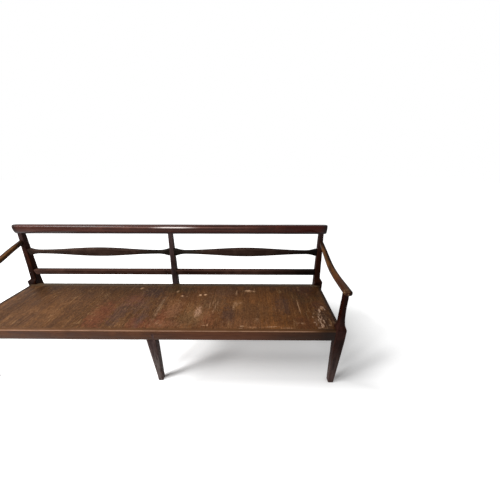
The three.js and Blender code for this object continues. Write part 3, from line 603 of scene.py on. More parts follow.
NOSING = 11 * MM
NOSING_STEPS = 8
NOSING_DENT = 1.6 * MM
LIP_EASE = 0.4 * MM
LIP_GAP = 0.15 * MM  # from the lip to the front ends of the boards
FOOT_OF_RAIL = 3 * MM
FACE_STEPS = 5
FRONT_RAIL_STEP = 13 * MM
PLAIN_BOARD = "seat_board_05"


def front_rail(material):
    """The front rail: a rounded nosing along the top, and the rebate that holds the boards."""
    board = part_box(PLAIN_BOARD)[0]
    (_, face, bottom), (_, back, top) = cut_spans("front_seat_rail", "x", [MID_BAY])[0]
    end = at_frame("front_leg_right")[0][0] + POST_TUCK
    lip = board[1] - LIP_GAP
    outline = [(back, bottom, 0.0)]
    for i in range(CORNER_STEPS + 1):
        turn = pi / 2 * i / CORNER_STEPS
        outline.append((face + FOOT_OF_RAIL * (1 - sin(turn)), bottom + FOOT_OF_RAIL * (1 - cos(turn)), 1.0))
    flat = top - NOSING - bottom - FOOT_OF_RAIL
    for i in range(1, FACE_STEPS):
        outline.append((face, bottom + FOOT_OF_RAIL + flat * i / FACE_STEPS, 0.0))
    for i in range(NOSING_STEPS + 1):
        turn = pi / 2 * i / NOSING_STEPS
        near = sin(2 * turn) ** 2
        outline.append((face + NOSING * (1 - cos(turn)), top - NOSING * (1 - sin(turn)), near))
    outline += [(lip - LIP_EASE, top, 0.3), (lip, top - LIP_EASE, 0.8)]
    outline += [(lip, board[2], 0.0), (back, board[2], 0.0)]
    outline.reverse()
    count = round(2 * end / FRONT_RAIL_STEP)
    rings = [[(-end + 2 * end * i / count, y, z) for y, z, _ in outline] for i in range(count + 1)]
    mesh = skin("front_rail_wood", rings, [near for _, _, near in outline])
    weather(mesh, 2, dent=NOSING_DENT)
    add_piece(mesh, material, "front_seat_rail")


RAIL_ROUND = 2 * MM


def box_rings(axis, x, y, z):
    """Rings of a rounded block along an axis, drawn in a little at both ends."""
    (low, high), across, up = (x, y, z) if axis == "x" else (y, z, x)
    straight = high - low - 2 * RAIL_ROUND
    count = max(2, round(straight / BAR_STEP))
    stations = [(low + RAIL_ROUND + straight * i / count, 0.0) for i in range(count + 1)]
    rings = []
    for at, inset in [(low, RAIL_ROUND), *stations, (high, RAIL_ROUND)]:
        spans = ((span[0] + inset, span[1] - inset) for span in (across, up))
        ring, nearness = rounded_box(*spans, RAIL_ROUND)
        rings.append([(at, a, b) if axis == "x" else (b, at, a) for a, b in ring])
    return rings, nearness


def joined_skins(name, parts):
    """Several closed skins in one mesh."""
    form = bmesh.new()
    values = []
    for rings, nearness in parts:
        part = skin(name, rings)
        form.from_mesh(part)
        bpy.data.meshes.remove(part)
        values += nearness * len(rings)
    mesh = bpy.data.meshes.new(name)
    form.to_mesh(mesh)
    form.free()
    set_attribute(mesh, "edge", values)
    return mesh


END_LAP = 20 * MM  # how far the rail's narrow ends run into its middle


def back_rail(material):
    x, y, z = zip(*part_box("back_seat_rail"))
    board_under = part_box(PLAIN_BOARD)[0][2]
    post = at_frame("back_post_right")[0]
    inner = post[0] + POST_TUCK
    parts = [box_rings("x", (-inner, inner), y, z)]
    for span in ((x[0], -inner + END_LAP), (inner - END_LAP, x[1])):
        parts.append(box_rings("x", span, (y[0], post[1]), (board_under, z[1])))
    mesh = joined_skins("back_rail_wood", parts)
    weather(mesh, 6)
    add_piece(mesh, material, "back_seat_rail")


def side_rail(side, material):
    node = f"side_seat_rail_{side}"
    x, _, z = zip(*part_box(node))
    leg, post = at_frame(f"front_leg_{side}")[1][1], at_frame(f"back_post_{side}")[0][1]
    rings, nearness = box_rings("y", x, (leg - POST_TUCK, post + POST_TUCK), z)
    mesh = skin(node + "_wood", rings, nearness)
    weather(mesh, 7)
    add_piece(mesh, material, node)


# Seat boards

BOARD_COUNT = 14
BOARD_STEP = 12 * MM
BOARD_EDGE = 0.7 * MM
BOARD_RIM = 3 * BOARD_EDGE  # width of the narrow cells along a board's edges
BOARD_BEVEL_STEPS = 3
BOARD_WAVE = 0.3 * MM
BOARD_DENT = 1.2 * MM
NOTCH_GAP = 0.6 * MM  # from a board to the leg that it is notched round
CUP = 0.5 * MM  # how far a board bows across its width
TILT = 0.35 * MM  # how far a board's edges may rise or sink
SQUARE_TURN = 1.0  # radians: an edge between faces that turn more than this is eased


def cells(low, high, stops):
    """Grid lines from low to high that hit each stop, with finer cells near the ends."""
    within = [stop for stop in stops if low < stop < high]
    fixed = sorted({low, low + BOARD_RIM, high - BOARD_RIM, high, *within})
    lines = []
    for a, b in zip(fixed, fixed[1:]):
        parts = max(1, round((b - a) / BOARD_STEP))
        lines += [a + (b - a) * i / parts for i in range(parts)]
    return lines + [high]


def board_mesh(node, seed):
    """One seat board: a grid slab with eased edges, notched round a leg where its node is."""
    low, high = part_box(node)
    inner = at_frame("front_leg_right")[0][0] - NOTCH_GAP
    notch_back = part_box("front_leg_right")[1][1] + NOTCH_GAP
    xs = cells(low[0], high[0], (-inner, inner))
    ys = cells(low[1], high[1], (notch_back,))
    form = bmesh.new()
    corners = {}

    def kept(i, j):
        return abs(xs[i] + xs[i + 1]) / 2 <= inner or (ys[j] + ys[j + 1]) / 2 >= notch_back

    def corner(i, j, z):
        if (i, j, z) not in corners:
            corners[i, j, z] = form.verts.new((xs[i], ys[j], z))
        return corners[i, j, z]

    inside = {(i, j) for i in range(len(xs) - 1) for j in range(len(ys) - 1) if kept(i, j)}
    for i, j in sorted(inside):
        around = [(i, j), (i + 1, j), (i + 1, j + 1), (i, j + 1)]
        for z in (low[2], high[2]):
            form.faces.new([corner(*place, z) for place in around])
        for k, beside in enumerate([(i, j - 1), (i + 1, j), (i, j + 1), (i - 1, j)]):
            if beside not in inside:
                a, b = around[k], around[(k + 1) % 4]
                wall = [(*a, low[2]), (*b, low[2]), (*b, high[2]), (*a, high[2])]
                form.faces.new([corner(*place) for place in wall])
    bmesh.ops.recalc_face_normals(form, faces=form.faces)
    square = [e for e in form.edges if e.calc_face_angle(0) > SQUARE_TURN]
    form.normal_update()
    bmesh.ops.bevel(
        form, geom=square, offset=BOARD_EDGE, segments=BOARD_BEVEL_STEPS,
        profile=0.5, affect="EDGES", clamp_overlap=False,
    )
    mesh = bpy.data.meshes.new(node + "_wood")
    form.to_mesh(mesh)
    form.free()
    middle, half = (low[0] + high[0]) / 2, (high[0] - low[0]) / 2
    tilt = TILT * noise.noise(Vector((seed * 5.3, 0.5, 0.5)))
    near = []
    for vertex in mesh.vertices:
        x, y, z = vertex.co
        rim = min(x - low[0], high[0] - x, y - low[1], high[1] - y)
        near.append(1.0 if rim < BOARD_EDGE * 1.2 and z > high[2] - 2 * BOARD_EDGE else 0.0)
        if z > (low[2] + high[2]) / 2:
            across = (x - middle) / half
            vertex.co.z -= CUP * (0.5 + 0.5 * across**2) + tilt * across
    set_attribute(mesh, "edge", near)
    set_attribute(mesh, "tone", [noise.noise(Vector((seed * 7.7, 3.1, 1.9))) + 0.5] * len(mesh.vertices))
    return mesh


def seat_boards():
    for number in range(1, BOARD_COUNT + 1):
        node = f"seat_board_{number:02d}"
        mesh = board_mesh(node, number)
        weather(mesh, number, wave=BOARD_WAVE, dent=BOARD_DENT, grow=0.0)
        add_piece(mesh, board_wood(node), node)


# Finishes. A pair of numbers is a step in metres along an axis, over which a tone comes in.

END_LEG = (0.3, 0.8)  # from the middle of the bench out to an end leg
LEG_DUST = (0.36, 0.1)
LEG_FOOT = (0.2, 0.02)
LEG_RED = (0.04, 0.3)
LEG_TOP = (SEAT_TOP + 0.04, SEAT_TOP + 0.1)
BLOCK_FOOT = (RAIL_BOTTOM, RAIL_BOTTOM + 0.02)
BLOCK_TOP = (SEAT_TOP + 0.09, SEAT_TOP + 0.04)
BLOCK_OUTER = (1.03, 1.06)


def leg_wood():
    """Dark legs with dusty lower parts. The end legs are warmer, with a lighter block at the seat."""
    wood = Wood("leg_wood", "z", "2c1d1a", "3c2b28", "544340", 1)
    height, out = wood.along("z"), wood.outwards()
    end_leg = wood.ramp(out, *END_LEG)
    wood.paint("6b605c", wood.ramp(height, *LEG_DUST), wood.ramp(wood.streak, 0.3, 0.6), 0.85)
    wood.streaks(0.16)
    wood.wear_edges("6a5048", 0.4)
    wood.wash("da8c48", wood.ramp(height, *LEG_TOP), end_leg)
    wood.wash("dcb0a0", wood.ramp(height, *LEG_RED), end_leg)
    # painted shade: the legs darker towards the right end
    wood.painted_shade_right(0.1, 1.0, 0.5)
    block = wood.product(
        wood.ramp(height, *BLOCK_FOOT),
        wood.ramp(height, *BLOCK_TOP),
        wood.ramp(out, *BLOCK_OUTER, 0.25, 0.85),
    )
    wood.shade(wood.math("ADD", block, 1.0))
    wood.paint("50322e", wood.ramp(height, *LEG_FOOT), end_leg, 0.45)
    return wood.done(specular=0.03)


END_POST = (0.5, 0.95)  # from the middle of the bench out to an end post
POST_PALE = (0.55, 0.75)
POST_SHADE = (0.45, 0.66)
POST_WARM = (0.8, 0.62)


def post_wood():
    wood = Wood("post_wood", "z", "2a1e1b", "392b2b", "4a3e40", 2)
    height, out = wood.along("z"), wood.outwards()
    wood.paint("4c3d3d", wood.ramp(height, *POST_PALE), 0.4)
    wood.shade(wood.ramp(height, *POST_SHADE, 0.77, 1.16))
    wood.wear_edges("4e3830", 0.35)
    wood.streaks(0.2)
    wood.shade(wood.ramp(out, *END_POST, 1.0, 0.5))
    wood.wash("ffb07c", wood.ramp(out, *END_POST), wood.ramp(height, *POST_WARM, 0.2, 1.0))
    return wood.done(specular=0.025)


CREST_RED = (0.45, 1.0)
CREST_SHADED_ENDS = (1.035, 1.07)
CREST_UNDER = (0.039, 0.051)  # below the crest's top
HIGHLIGHT_DROP = 0.0126  # from the crest's top to the middle of its painted highlight
HIGHLIGHT_HALF = (0.0056, 0.0022)
HIGHLIGHT_FACE = (0.016, 0.01)  # behind the crest's foremost place
HIGHLIGHT_MIDDLE = 0.035  # where along the bench the painted highlight is brightest
HIGHLIGHT_BROAD = (0.8, 0.1)
HIGHLIGHT_CORE = (0.19, 0.02)


def crest_wood():
    """Glossy red-brown, with a painted highlight along the front of the rail, painted shade at its ends and
    towards its right end, and a painted reflection on its lower part.
    """
    wood = Wood("crest_wood", "x", "34180f", "47231a", "522d22", 3)
    wood.streaks(0.1)
    # painted shade: the crest redder and darker towards its right end
    wood.wash("d4916b", wood.ramp(wood.along("x"), *CREST_RED))
    # painted shade on the rounded ends of the crest
    wood.shade(wood.ramp(wood.outwards(), *CREST_SHADED_ENDS, 1.0, 0.3))
    height, front, top = wood.along("z"), CREST_BOX[0][1], CREST_BOX[1][2]
    # painted reflection: the lower part of the crest greyer
    wood.paint("3b3436", wood.ramp(height, *(top - drop for drop in CREST_UNDER)), 0.75)
    # painted highlight: a pale band along the crest's front, with a near-white core
    line = wood.ramp(wood.apart(height, top - HIGHLIGHT_DROP), *HIGHLIGHT_HALF)
    band = wood.product(line, wood.ramp(wood.along("y"), *(front + behind for behind in HIGHLIGHT_FACE)))
    band = wood.product(band, wood.ramp(wood.streak, 0.25, 0.6, 0.75, 1.0))
    beside = wood.apart(wood.along("x"), HIGHLIGHT_MIDDLE)
    wood.paint("c29488", band, wood.ramp(beside, *HIGHLIGHT_BROAD), 0.27)
    wood.paint("fff4ee", band, wood.ramp(beside, *HIGHLIGHT_CORE), 0.8)
    return wood.done(roughness=0.22, spread=0.04, specular=0.12, depth=0.05 * MM)


THIN_RAILS = (0.05, 0.25)  # from the centre post out to the full tone of the thin rails
THIN_RAIL_NECK = (0.3, 0.1)


def thin_rail_wood():
    wood = Wood("thin_rail_wood", "x", "301e18", "422c25", "543b32", 5)
    wood.wear_edges("5a3f33", 0.3)
    wood.shade(wood.ramp(wood.outwards(), *THIN_RAILS, 0.65, 1.05))
    between = (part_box("lower_back_rail_left")[1][2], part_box("lozenge_rail_left")[0][2])
    upper = wood.ramp(wood.along("z"), *between)
    wood.wash("dbeaec", upper)
    wood.wash("cfeef4", upper, wood.ramp(wood.outwards(), *THIN_RAIL_NECK))
    # painted shade: the thin rails darker towards the right end
    wood.painted_shade_right(0.5, 1.0, 0.11)
    return wood.done(specular=0.03)


ARM_HIGHLIGHT = (-0.05, 0.06)
ARM_REAR = (-0.04, 0.1)
ARM_FRONT = (-0.06, -0.17)
ARM_SHADE_WIDENS = (-0.12, 0.1)
ARM_AT_POST = (SEAT_BACK - 0.06, SEAT_BACK + 0.005)
ARM_NOSE_END = (RAIL_FACE + 0.05, RAIL_FACE + 0.03)
ARM_CAP = (RAIL_FACE + 0.02, RAIL_FACE + 0.01)


def arm_wood():
    """Orange brown where hands rub the arm, and dark at the post. A painted highlight runs along its inner
    top towards the post, and painted shade along its outer side, its lower part and the outer side of its
    nose.
    """
    wood = Wood("arm_wood", "y", "3c2414", "5a3719", "7a4a22", 6)
    wood.streaks(0.28)
    out, up, far = wood.attribute("out"), wood.attribute("up"), wood.along("y")
    # painted highlight along the inner top of the arm, towards the post
    wood.paint("805c3a", wood.ramp(out, 0.45, 0.25), wood.ramp(up, 0.5, 0.8), wood.ramp(far, *ARM_HIGHLIGHT), 0.38)
    wood.shade(wood.ramp(far, *ARM_REAR, 1.0, 0.75))
    wood.paint("42200f", wood.ramp(far, *ARM_FRONT), wood.ramp(wood.blotch, 0.4, 0.6, 0.6, 1.0), 0.9)
    # painted shade along the lower part of the arm
    wood.paint("1f110a", wood.ramp(up, 0.4, 0.18), 0.65)
    # painted shade along the outer side of the arm, wider towards the post
    wide = wood.ramp(far, *ARM_SHADE_WIDENS, 0.0, 0.3)
    wood.paint("1c0f07", wood.ramp(wood.math("ADD", out, wide), 0.62, 0.9), 0.9)
    wood.paint("24160f", wood.ramp(far, *ARM_AT_POST), 0.9)
    nose, cap = wood.ramp(far, *ARM_NOSE_END), wood.ramp(far, *ARM_CAP)
    wood.paint("63472a", nose, wood.ramp(wood.rag, 0.46, 0.54), wood.ramp(out, 0.8, 0.5), 0.5)
    wood.paint("c09c74", nose, wood.ramp(wood.speck, 0.56, 0.64), wood.ramp(out, 0.7, 0.4), 0.7)
    wood.paint("2e150a", cap, wood.ramp(wood.speck, 0.6, 0.5), 0.75)
    # painted shade on the outer side of the nose
    wood.paint("170d08", nose, wood.ramp(out, 0.5, 0.75), 0.7)
    return wood.done(roughness=0.38, specular=0.05)


def hidden_wood():
    return Wood("hidden_wood", "x", "4a3524", "6a4c33", "846145", 7).done()


def side_rail_wood():
    wood = Wood("side_rail_wood", "y", "1d120c", "2a1a12", "382419", 9)
    wood.wear_edges("46301f", 0.25)
    return wood.done(specular=0.03)


def peg_wood():
    return Wood("peg_wood", "y", "43281c", "4c2f20", "5a3a28", 8).done()


RUST = 300.0  # features per metre
RUST_DEPTH = 0.1 * MM


def iron():
    finish = Finish("old_iron")
    rust = finish.noise(finish.place, RUST, 4.0, 0.6)
    colour = finish.mix(finish.ramp(rust, 0.45, 0.6), tint("3a3835"), tint("5a3a28"))
    finish.shader.inputs["Metallic"].default_value = 0.7
    rough = finish.ramp(rust, *MIDDLE, 0.45, 0.75)
    return finish.finish(colour, rough, finish.bump(rust, RUST_DEPTH), 0.5)


RAIL_LOW = (RAIL_BOTTOM + 0.045, RAIL_BOTTOM + 0.01)
RAIL_TOP = (SEAT_TOP - 0.013, SEAT_TOP - 0.006)
WARM_MIDDLE = 0.42  # where along the bench the rail's face is warmest
WARM_HALF = (0.4, 0.1)
NOSE_LINE = SEAT_TOP - 0.006  # height of the pale line along the nosing
NOSE_HALF = (0.0032, 0.001)
NOSE_FADE = (0.85, 0.97)
NOSE_PATCH = (14.0, 60.0, 60.0)  # features per metre along each axis


def rail_wood():
    """The front rail: seat brown on top, a pale nosing line that is partly wear and partly a painted
    highlight, and a redder face.
    """
    wood = Wood("rail_wood", "x", "43281c", "51311f", "5f3c29", 4)
    height = wood.along("z")
    wood.paint("4a362c", wood.ramp(height, *RAIL_LOW), wood.ramp(wood.streak, 0.3, 0.6), 0.8)
    wood.paint("6b3e27", wood.ramp(wood.apart(wood.along("x"), WARM_MIDDLE), *WARM_HALF), 0.38)
    # painted shade: the rail's face darker towards the right end
    wood.painted_shade_right(0.5, 1.0, 0.45)
    wood.paint("5c3c24", wood.ramp(height, *RAIL_TOP))
    # painted shade: the top of the rail darker again at its right end
    wood.painted_shade_right(0.9, 1.0, 0.4)
    wood.streaks(0.12)
    # the pale line along the nosing: wear and a painted highlight, fading out near the right end
    band = wood.ramp(wood.apart(height, NOSE_LINE), *NOSE_HALF)
    patchy = wood.ramp(wood.noise(wood.stretched(NOSE_PATCH), 1.0, 4.0, 0.6), 0.3, 0.6, 0.5, 1.0)
    fade = wood.ramp(wood.along("x"), *NOSE_FADE, 1.0, 0.1)
    wood.paint("d4a689", band, patchy, fade, 0.44)
    return wood.done(specular=0.06)


def back_rail_wood():
    wood = Wood("back_rail_wood", "x", "372819", "4a3826", "5a4836", 10)
    wood.streaks(0.14)
    return wood.done(specular=0.12)


# Marks on the seat. In millimetres: x from the middle of the bench, y from the front rail's face,
# half width and half depth. The last number is the strength.
PALE_SPOTS = (
    (97, 318, 10, 8, 0.6), (543, 383, 22, 9, 0.85), (585, 375, 13, 5, 0.6), (-220, 412, 11, 10, 0.6),
    (463, 360, 5, 26, 0.55), (512, 34, 10, 5, 0.8), (507, 16, 8, 4, 0.5), (300, 40, 14, 3, 0.5),
    (316, 45, 4, 7, 0.5), (48, 40, 8, 8, 0.3), (50, 372, 8, 9, 0.5), (20, 60, 9, 14, 0.22),
    (600, 90, 12, 14, 0.25), (1005, 195, 9, 10, 0.8), (1050, 70, 16, 7, 0.2), (860, 60, 10, 6, 0.4),
    (866, 215, 3, 60, 0.6), (300, 225, 3, 30, 0.3), (318, 250, 4, 16, 0.3), (338, 205, 3, 26, 0.5),
    (348, 252, 3, 24, 0.3), (330, 165, 4, 16, 0.35), (466, 235, 10, 20, 0.4), (455, 205, 6, 24, 0.4),
    (497, 248, 9, 12, 0.3), (1018, 12, 10, 3, 0.5),
)
SCRATCHES = (  # as PALE_SPOTS, with harder edges
    (572, 28, 28, 1.5, 0.5), (630, 28, 26, 1.2, 0.35), (676, 30, 24, 2.4, 0.7),
    (705, 34, 10, 2.0, 0.45), (770, 22, 40, 1.6, 0.6), (834, 62, 12, 2.0, 0.4), (216, 332, 9, 9, 0.9),
    (251, 336, 9, 9, 0.95), (545, 388, 13, 8, 0.8), (97, 322, 6, 8, 0.6), (130, 316, 6, 7, 0.25),
)
SCRAPES = (  # as PALE_SPOTS, scraped towards the bare wood near the right arm
    (1016, 206, 7, 7, 0.85), (1022, 186, 5, 8, 0.6), (1006, 214, 5, 4, 0.5), (986, 176, 6, 14, 0.8),
    (983, 158, 4, 8, 0.5), (972, 136, 3, 12, 0.45), (965, 112, 3.5, 14, 0.7), (958, 88, 3, 12, 0.6),
    (970, 92, 3, 12, 0.5), (966, 64, 3.5, 12, 0.65), (965, 42, 4, 12, 0.6), (983, 112, 3, 8, 0.5),
    (978, 96, 3, 8, 0.55), (987, 80, 4, 9, 0.75), (988, 68, 4, 9, 0.6), (974, 46, 4, 12, 0.65),
    (965, 28, 6, 5, 0.5), (931, 115, 4, 8, 0.35), (930, 68, 8, 5, 0.4), (937, 50, 4, 10, 0.35),
    (948, 24, 8, 4, 0.5), (1011, 46, 9, 5, 0.3),
)
STAINS = (  # colour, strength, then x, y, half width and half depth as in PALE_SPOTS
    ("75432e", 0.55, 32, 110, 36, 62), ("764a35", 0.5, 60, 50, 125, 32),
    ("6e3f2b", 0.6, -345, 120, 60, 130), ("57423c", 0.35, -145, 215, 42, 62),
    ("57403a", 0.55, -95, 75, 36, 48), ("74402a", 0.4, -125, 50, 24, 60),
    ("5a4330", 0.3, 560, 160, 150, 90), ("8a5f44", 0.4, 85, 165, 45, 70),
    ("7b4a32", 0.5, 300, 105, 45, 70), ("5c3426", 0.55, 985, 235, 34, 45),
    ("4d3a35", 0.38, 425, 130, 38, 75), ("4a3a36", 0.35, 765, 230, 42, 80),
    ("43322f", 0.65, -120, 365, 75, 60), ("4d3b38", 0.4, -235, 150, 40, 120),
    ("574630", 0.4, 190, 90, 70, 60), ("4a3f2a", 0.4, 60, 400, 90, 45),
    ("855c36", 0.45, 475, 235, 36, 60), ("5e4732", 0.35, 330, 260, 70, 80),
    ("4c3a22", 0.5, 930, 330, 90, 70), ("6e3a26", 0.45, -40, 45, 45, 40),
    ("6f4434", 0.4, -205, 285, 60, 60), ("594440", 0.2, -85, 130, 22, 90),
    ("80573d", 0.3, 90, 190, 45, 70), ("33201a", 0.5, 1005, 110, 50, 90),
    ("72503a", 0.55, 370, 370, 75, 60), ("6a3a26", 0.45, 940, 390, 70, 70),
    ("7a5238", 0.4, 520, 50, 130, 45), ("6c3f29", 0.35, 880, 60, 70, 50),
)
REACH = 3.0  # how far a ragged mark can spread, against its half width

SEAT_SHADE = (0.26, 0.42)  # behind the rail's face, where the back of the seat darkens
SEAT_LEFT = (0.25, -0.15)
SEAT_RIGHT = (0.3, 0.75)
RIM_WIDE = 0.018  # of the dark rim at the ends of the seat
RIM_RAGGED = 0.02
FRONT_JOINT = (0.019, 0.016)  # behind the rail's face, the dark joint at the boards' front ends
JOINT_FROM = (0.93, 0.97)

# Features per metre along each axis, and where each pattern starts
RUB = ((55.0, 9.0, 1.0), (3.1, 0.7, 0))
NICK = ((190.0, 34.0, 1.0), (0.4, 8.2, 0))
MOTTLE = ((150.0, 80.0, 1.0), (2.2, 5.1, 0))
SQUIGGLE = ((46.0, 15.0, 1.0), (0, 0, 0))
FINE = 130.0
HAIR = 17.0


def board_wood(node):
    """The worn seat: streaks, stains, pale patches and scratches in the old finish.

    The grain and the marks run on from board to board, so each board's finish is the same
    painting, and holds only the marks that reach that board.
    """
    wood = Wood(node + "_finish", "y", "5a3923", "6a4427", "7c5233", 11)
    low, high = (corner[0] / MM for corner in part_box(node))
    along = wood.along("x")

    def reached(x, half_x):
        return low - REACH * half_x < x < high + REACH * half_x

    wood.shade(wood.ramp(wood.attribute("tone"), 0.0, 1.0, 0.88, 1.12))
    wood.streaks(0.1)
    wood.wash("e6f0fa", wood.ramp(along, *SEAT_LEFT))
    wood.wash("fffae4", wood.ramp(along, *SEAT_RIGHT))
    for colour, strength, x, y, half_x, half_y in STAINS:
        if reached(x, half_x):
            wood.paint(colour, wood.zone(x, y, half_x, half_y, 0.9, 1.0), strength)
    depth = wood.math("SUBTRACT", wood.along("y"), RAIL_FACE)
    back = wood.math("ADD", depth, wood.product(wood.math("SUBTRACT", wood.blotch, 0.5), 0.12))
    wood.shade(wood.ramp(back, *SEAT_SHADE, 1.0, 0.57))
    # painted shade: the seat darker towards the right end
    wood.painted_shade_right(0.75, 1.05, 0.62)

    fine = wood.noise(wood.place, FINE, 3.0, 0.6)
    if reached(240, 60):
        wood.paint("82603f", wood.zone(232, 150, 75, 85, 1.0, 1.3), 0.4)
        worn = wood.zone(240, 157, 18, 42, 0.8, 0.9, fine)
        wood.paint("c2977a", worn, wood.ramp(wood.speck, 0.42, 0.55, 0.35, 1.0), 0.7)
    if reached(-12, 20):
        wood.paint("8d6f56", wood.zone(-12, 190, 9, 100, 0.9, 1.4), 0.5)
    rub = wood.noise(wood.stretched(*RUB), 1.0, 4.0, 0.6, 0.5)
    wood.paint("93704c", wood.ramp(rub, 0.6, 0.72), 0.45)
    nick = wood.noise(wood.stretched(*NICK), 1.0, 4.0, 0.7, 0.8)
    wood.paint("a07c55", wood.ramp(nick, 0.6, 0.7), 0.5)
    wood.paint("2c1a10", wood.ramp(nick, 0.4, 0.3), 0.5)

    line = wood.apart(wood.noise(wood.place, HAIR, 2.0, 0.5, 0.6), 0.5)
    hair = wood.product(wood.ramp(line, 0.012, 0.003), wood.ramp(wood.speck, 0.45, 0.6))
    wood.paint("a78560", hair, wood.ramp(wood.blotch, 0.5, 0.6), 0.5)
    if reached(975, 60):
        squiggle = wood.noise(wood.stretched(*SQUIGGLE), 1.0, 1.0, 0.5, 1.6)
        ring = wood.ramp(wood.apart(squiggle, 0.5), 0.05, 0.015)
        wood.paint("b08f70", ring, wood.zone(975, 90, 38, 95, 0.6, 0.8), 0.3)
    for marks, colour, ragged, soft in (
        (SCRAPES, "c8a286", 0.6, 0.9), (PALE_SPOTS, "b8906e", 1.0, 1.4), (SCRATCHES, "c99d7a", 0.35, 0.6),
    ):
        for x, y, half_x, half_y, strength in marks:
            if reached(x, half_x):
                wood.paint(colour, wood.zone(x, y, half_x, half_y, ragged, soft, fine), strength)
    mottle = wood.noise(wood.stretched(*MOTTLE), 1.0, 5.0, 0.75, 0.4)
    wood.shade(wood.ramp(mottle, 0.32, 0.68, 0.6, 1.4))
    wood.wear_edges("8a6744", 0.25)
    rim = wood.math("ADD", wood.outwards(), wood.product(wood.rag, RIM_RAGGED))
    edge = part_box(f"seat_board_{BOARD_COUNT}")[1][0]
    wood.paint("22160f", wood.ramp(rim, edge - RIM_WIDE, edge), 0.9)
    wood.paint("21150e", wood.ramp(depth, *FRONT_JOINT), wood.ramp(along, *JOINT_FROM), 0.9)
    return wood.done(roughness=0.46, specular=0.05, depth=0.4 * MM)


# Light, floor and background

LIGHTS = (  # name, place, aim, width and height, watts
    ("window", (-0.86, -1.75, 1.85), (0.1, 0.0, 0.6), (0.3, 0.24), 14),
    ("key", (-2.3, -1.15, 2.8), (0.3, 0.0, 0.3), (1.3, 1.3), 118),
)
WORLD_STRENGTH = 0.25


def add_light(name, place, aim, size, power):
    data = bpy.data.lights.new(name, "AREA")
    data.shape = "RECTANGLE"
    data.size, data.size_y = size
    data.energy = power
    light = bpy.data.objects.new(name, data)
    light.location = place
    light.rotation_euler = (Vector(aim) - Vector(place)).to_track_quat("-Z", "Y").to_euler()
    bpy.context.collection.objects.link(light)


def add_world():
    world = bpy.data.worlds.new("studio")
    world.use_nodes = True
    sky = Nodes(world.node_tree)
    pick = sky.node("MapRange", inputs={"Value": sky.seen(), "To Min": WORLD_STRENGTH, "To Max": 1.0})
    background = sky.tree.nodes["Background"]
    sky.feed(background.inputs["Color"], (1, 1, 1, 1))
    sky.feed(background.inputs["Strength"], pick.outputs[0])
    bpy.context.scene.world = world


FLOOR_HALF = 12.0
FLOOR_WHITE = (0.86, 0.86, 0.86, 1)
FLOOR_ROUGH = 0.9

# Strength of the floor's own light: by the bench, to its left, to its right, behind it, and far out
LIFT_NEAR, LIFT_LEFT, LIFT_RIGHT, LIFT_BEHIND, LIFT_CLEAR = 0.2, 0.85, 0.65, 0.11, 0.85

# Where each of them comes in
FLOOR_OVAL = ((0.62, 1.1, 1.0), (-0.14, 0.0, 0.0))  # scale and offset of the distance from the bench
OVAL_STEP = (0.5, 1.1)
LEFT_SLANT = 0.5
LEFT_STEP = (0.42, 0.02)
RIGHT_STEP = (1.1, 1.55)
BEHIND_STEP = (-0.1, 0.0)
BEHIND_TO = (1.3, 1.0)
FRONT_STEP = (-0.15, -0.46)

# The shadow of a front foot: it runs to the right and back, and widens and fades on the way
FEET = ((0.0, 0.95), (1.07, 0.6))  # place along the bench, and how dark the shadow stays
FOOT_LINE = -0.235
TRAIL_SLOPE = 0.4
TRAIL_WIDENS = (0.0, 0.5)
TRAIL_HALF = (0.035, 0.11)
TRAIL_START = (-0.06, 0.0)
TRAIL_END = (0.62, 0.3)
TRAIL_FADE = (0.03, 0.2)
TRAIL_LEAST = 0.42


def foot_trail(paint, foot, dark):
    """1 on the open floor, and less along the way that the shadow of a front leg takes."""
    ahead = paint.math("SUBTRACT", paint.along("x"), foot)
    level = paint.math("SUBTRACT", paint.along("y"), FOOT_LINE)
    aside = paint.apart(level, paint.product(ahead, TRAIL_SLOPE))
    wide = paint.ramp(ahead, *TRAIL_WIDENS, *TRAIL_HALF)
    close = paint.math("SUBTRACT", 1.0, paint.math("DIVIDE", aside, wide))
    length = paint.product(paint.ramp(ahead, *TRAIL_START), paint.ramp(ahead, *TRAIL_END))
    deep = paint.ramp(ahead, *TRAIL_FADE, 1.0, TRAIL_LEAST)
    return paint.math("SUBTRACT", 1.0, paint.product(paint.ramp(close, 0.0, 1.0), length, deep, dark))


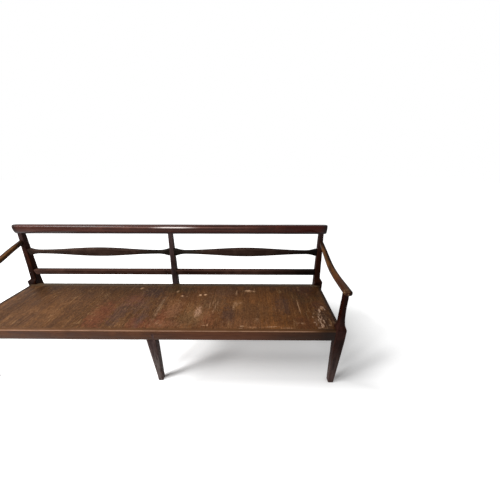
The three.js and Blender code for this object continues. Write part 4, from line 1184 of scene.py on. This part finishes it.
def add_floor():
    """A white floor that keeps the bench's soft shadow and turns plain white further out. Its own light is
    painted light: it fades the shadow to the left, to the right and behind the bench, and is taken away along
    the trails of the front feet, where the shadow shows darker.
    """
    mesh = bpy.data.meshes.new("floor")
    corners = [(x * FLOOR_HALF, y * FLOOR_HALF, 0) for x, y in ((-1, -1), (1, -1), (1, 1), (-1, 1))]
    mesh.from_pydata(corners, [], [(0, 1, 2, 3)])
    paint = Finish("floor")
    far = paint.length(paint.stretched(*FLOOR_OVAL))
    across, forward = paint.along("x"), paint.along("y")
    slanted = paint.math("SUBTRACT", across, paint.product(forward, LEFT_SLANT))
    near = paint.math(
        "MAXIMUM",
        paint.ramp(slanted, *LEFT_STEP, LIFT_NEAR, LIFT_LEFT),
        paint.ramp(across, *RIGHT_STEP, LIFT_NEAR, LIFT_RIGHT),
    )
    behind = paint.product(paint.ramp(forward, *BEHIND_STEP), paint.ramp(across, *BEHIND_TO))
    near = paint.math("ADD", near, paint.product(behind, LIFT_BEHIND))
    glow = paint.math("MAXIMUM", paint.ramp(far, *OVAL_STEP, 0.0, LIFT_CLEAR), near)
    glow = paint.math("MAXIMUM", glow, paint.ramp(forward, *FRONT_STEP, 0.0, LIFT_CLEAR))
    for foot, dark in FEET:
        glow = paint.math("MULTIPLY", glow, foot_trail(paint, foot, dark))
    paint.feed(paint.shader.inputs["Emission Color"], (1, 1, 1, 1))
    paint.feed(paint.shader.inputs["Emission Strength"], paint.math("MULTIPLY", glow, paint.seen()))
    mesh.materials.append(paint.finish(FLOOR_WHITE, FLOOR_ROUGH, None, 0.0))
    floor = bpy.data.objects.new("floor", mesh)
    bpy.context.collection.objects.link(floor)


def finish_nodes(material, *parts):
    """Gives every CAD node whose name holds one of these parts a finish."""
    for name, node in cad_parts.items():
        if any(part in name for part in parts):
            for place in node.material_slots:
                place.material = material


# The bench

LEG_TOP_TUCK = 7 * MM  # how far an end leg runs into the arm
POST_TOP_TUCK = 8 * MM  # how far a back post runs into the crest rail
LOZENGE_ROUND = 3 * MM
LOWER_RAIL_ROUND = 3.5 * MM

bpy.context.scene.view_settings.view_transform = "Standard"
add_camera()
add_world()
for light in LIGHTS:
    add_light(*light)
add_floor()

legs, posts = leg_wood(), post_wood()
leg_top, post_top = ARM_UNDER + LEG_TOP_TUCK, CREST_BOX[0][2] + POST_TOP_TUCK
for side in ("left", "right"):
    upright(f"front_leg_{side}", legs, 1, leg_top)
    upright(f"back_post_{side}", posts, 3, post_top, POST_GROW)
upright("centre_front_leg", legs, 5)
upright("centre_back_post", posts, 8, post_top)

crest_rail(crest_wood())
thin = thin_rail_wood()
for side in ("left", "right"):
    rail_between(f"shaped_rail_{side}", f"lozenge_rail_{side}", thin, LOZENGE_ROUND, 12)
    rail_between(f"lower_rail_{side}", f"lower_back_rail_{side}", thin, LOWER_RAIL_ROUND, 13)

front_rail(rail_wood())
back_rail(back_rail_wood())
arm, side_finish = arm_wood(), side_rail_wood()
for side in ("left", "right"):
    side_rail(side, side_finish)
    arm_piece(side, arm)
seat_boards()

finish_nodes(hidden_wood(), "cleat", "corner_block", "cross_rail")
finish_nodes(peg_wood(), "peg")
finish_nodes(iron(), "screw")
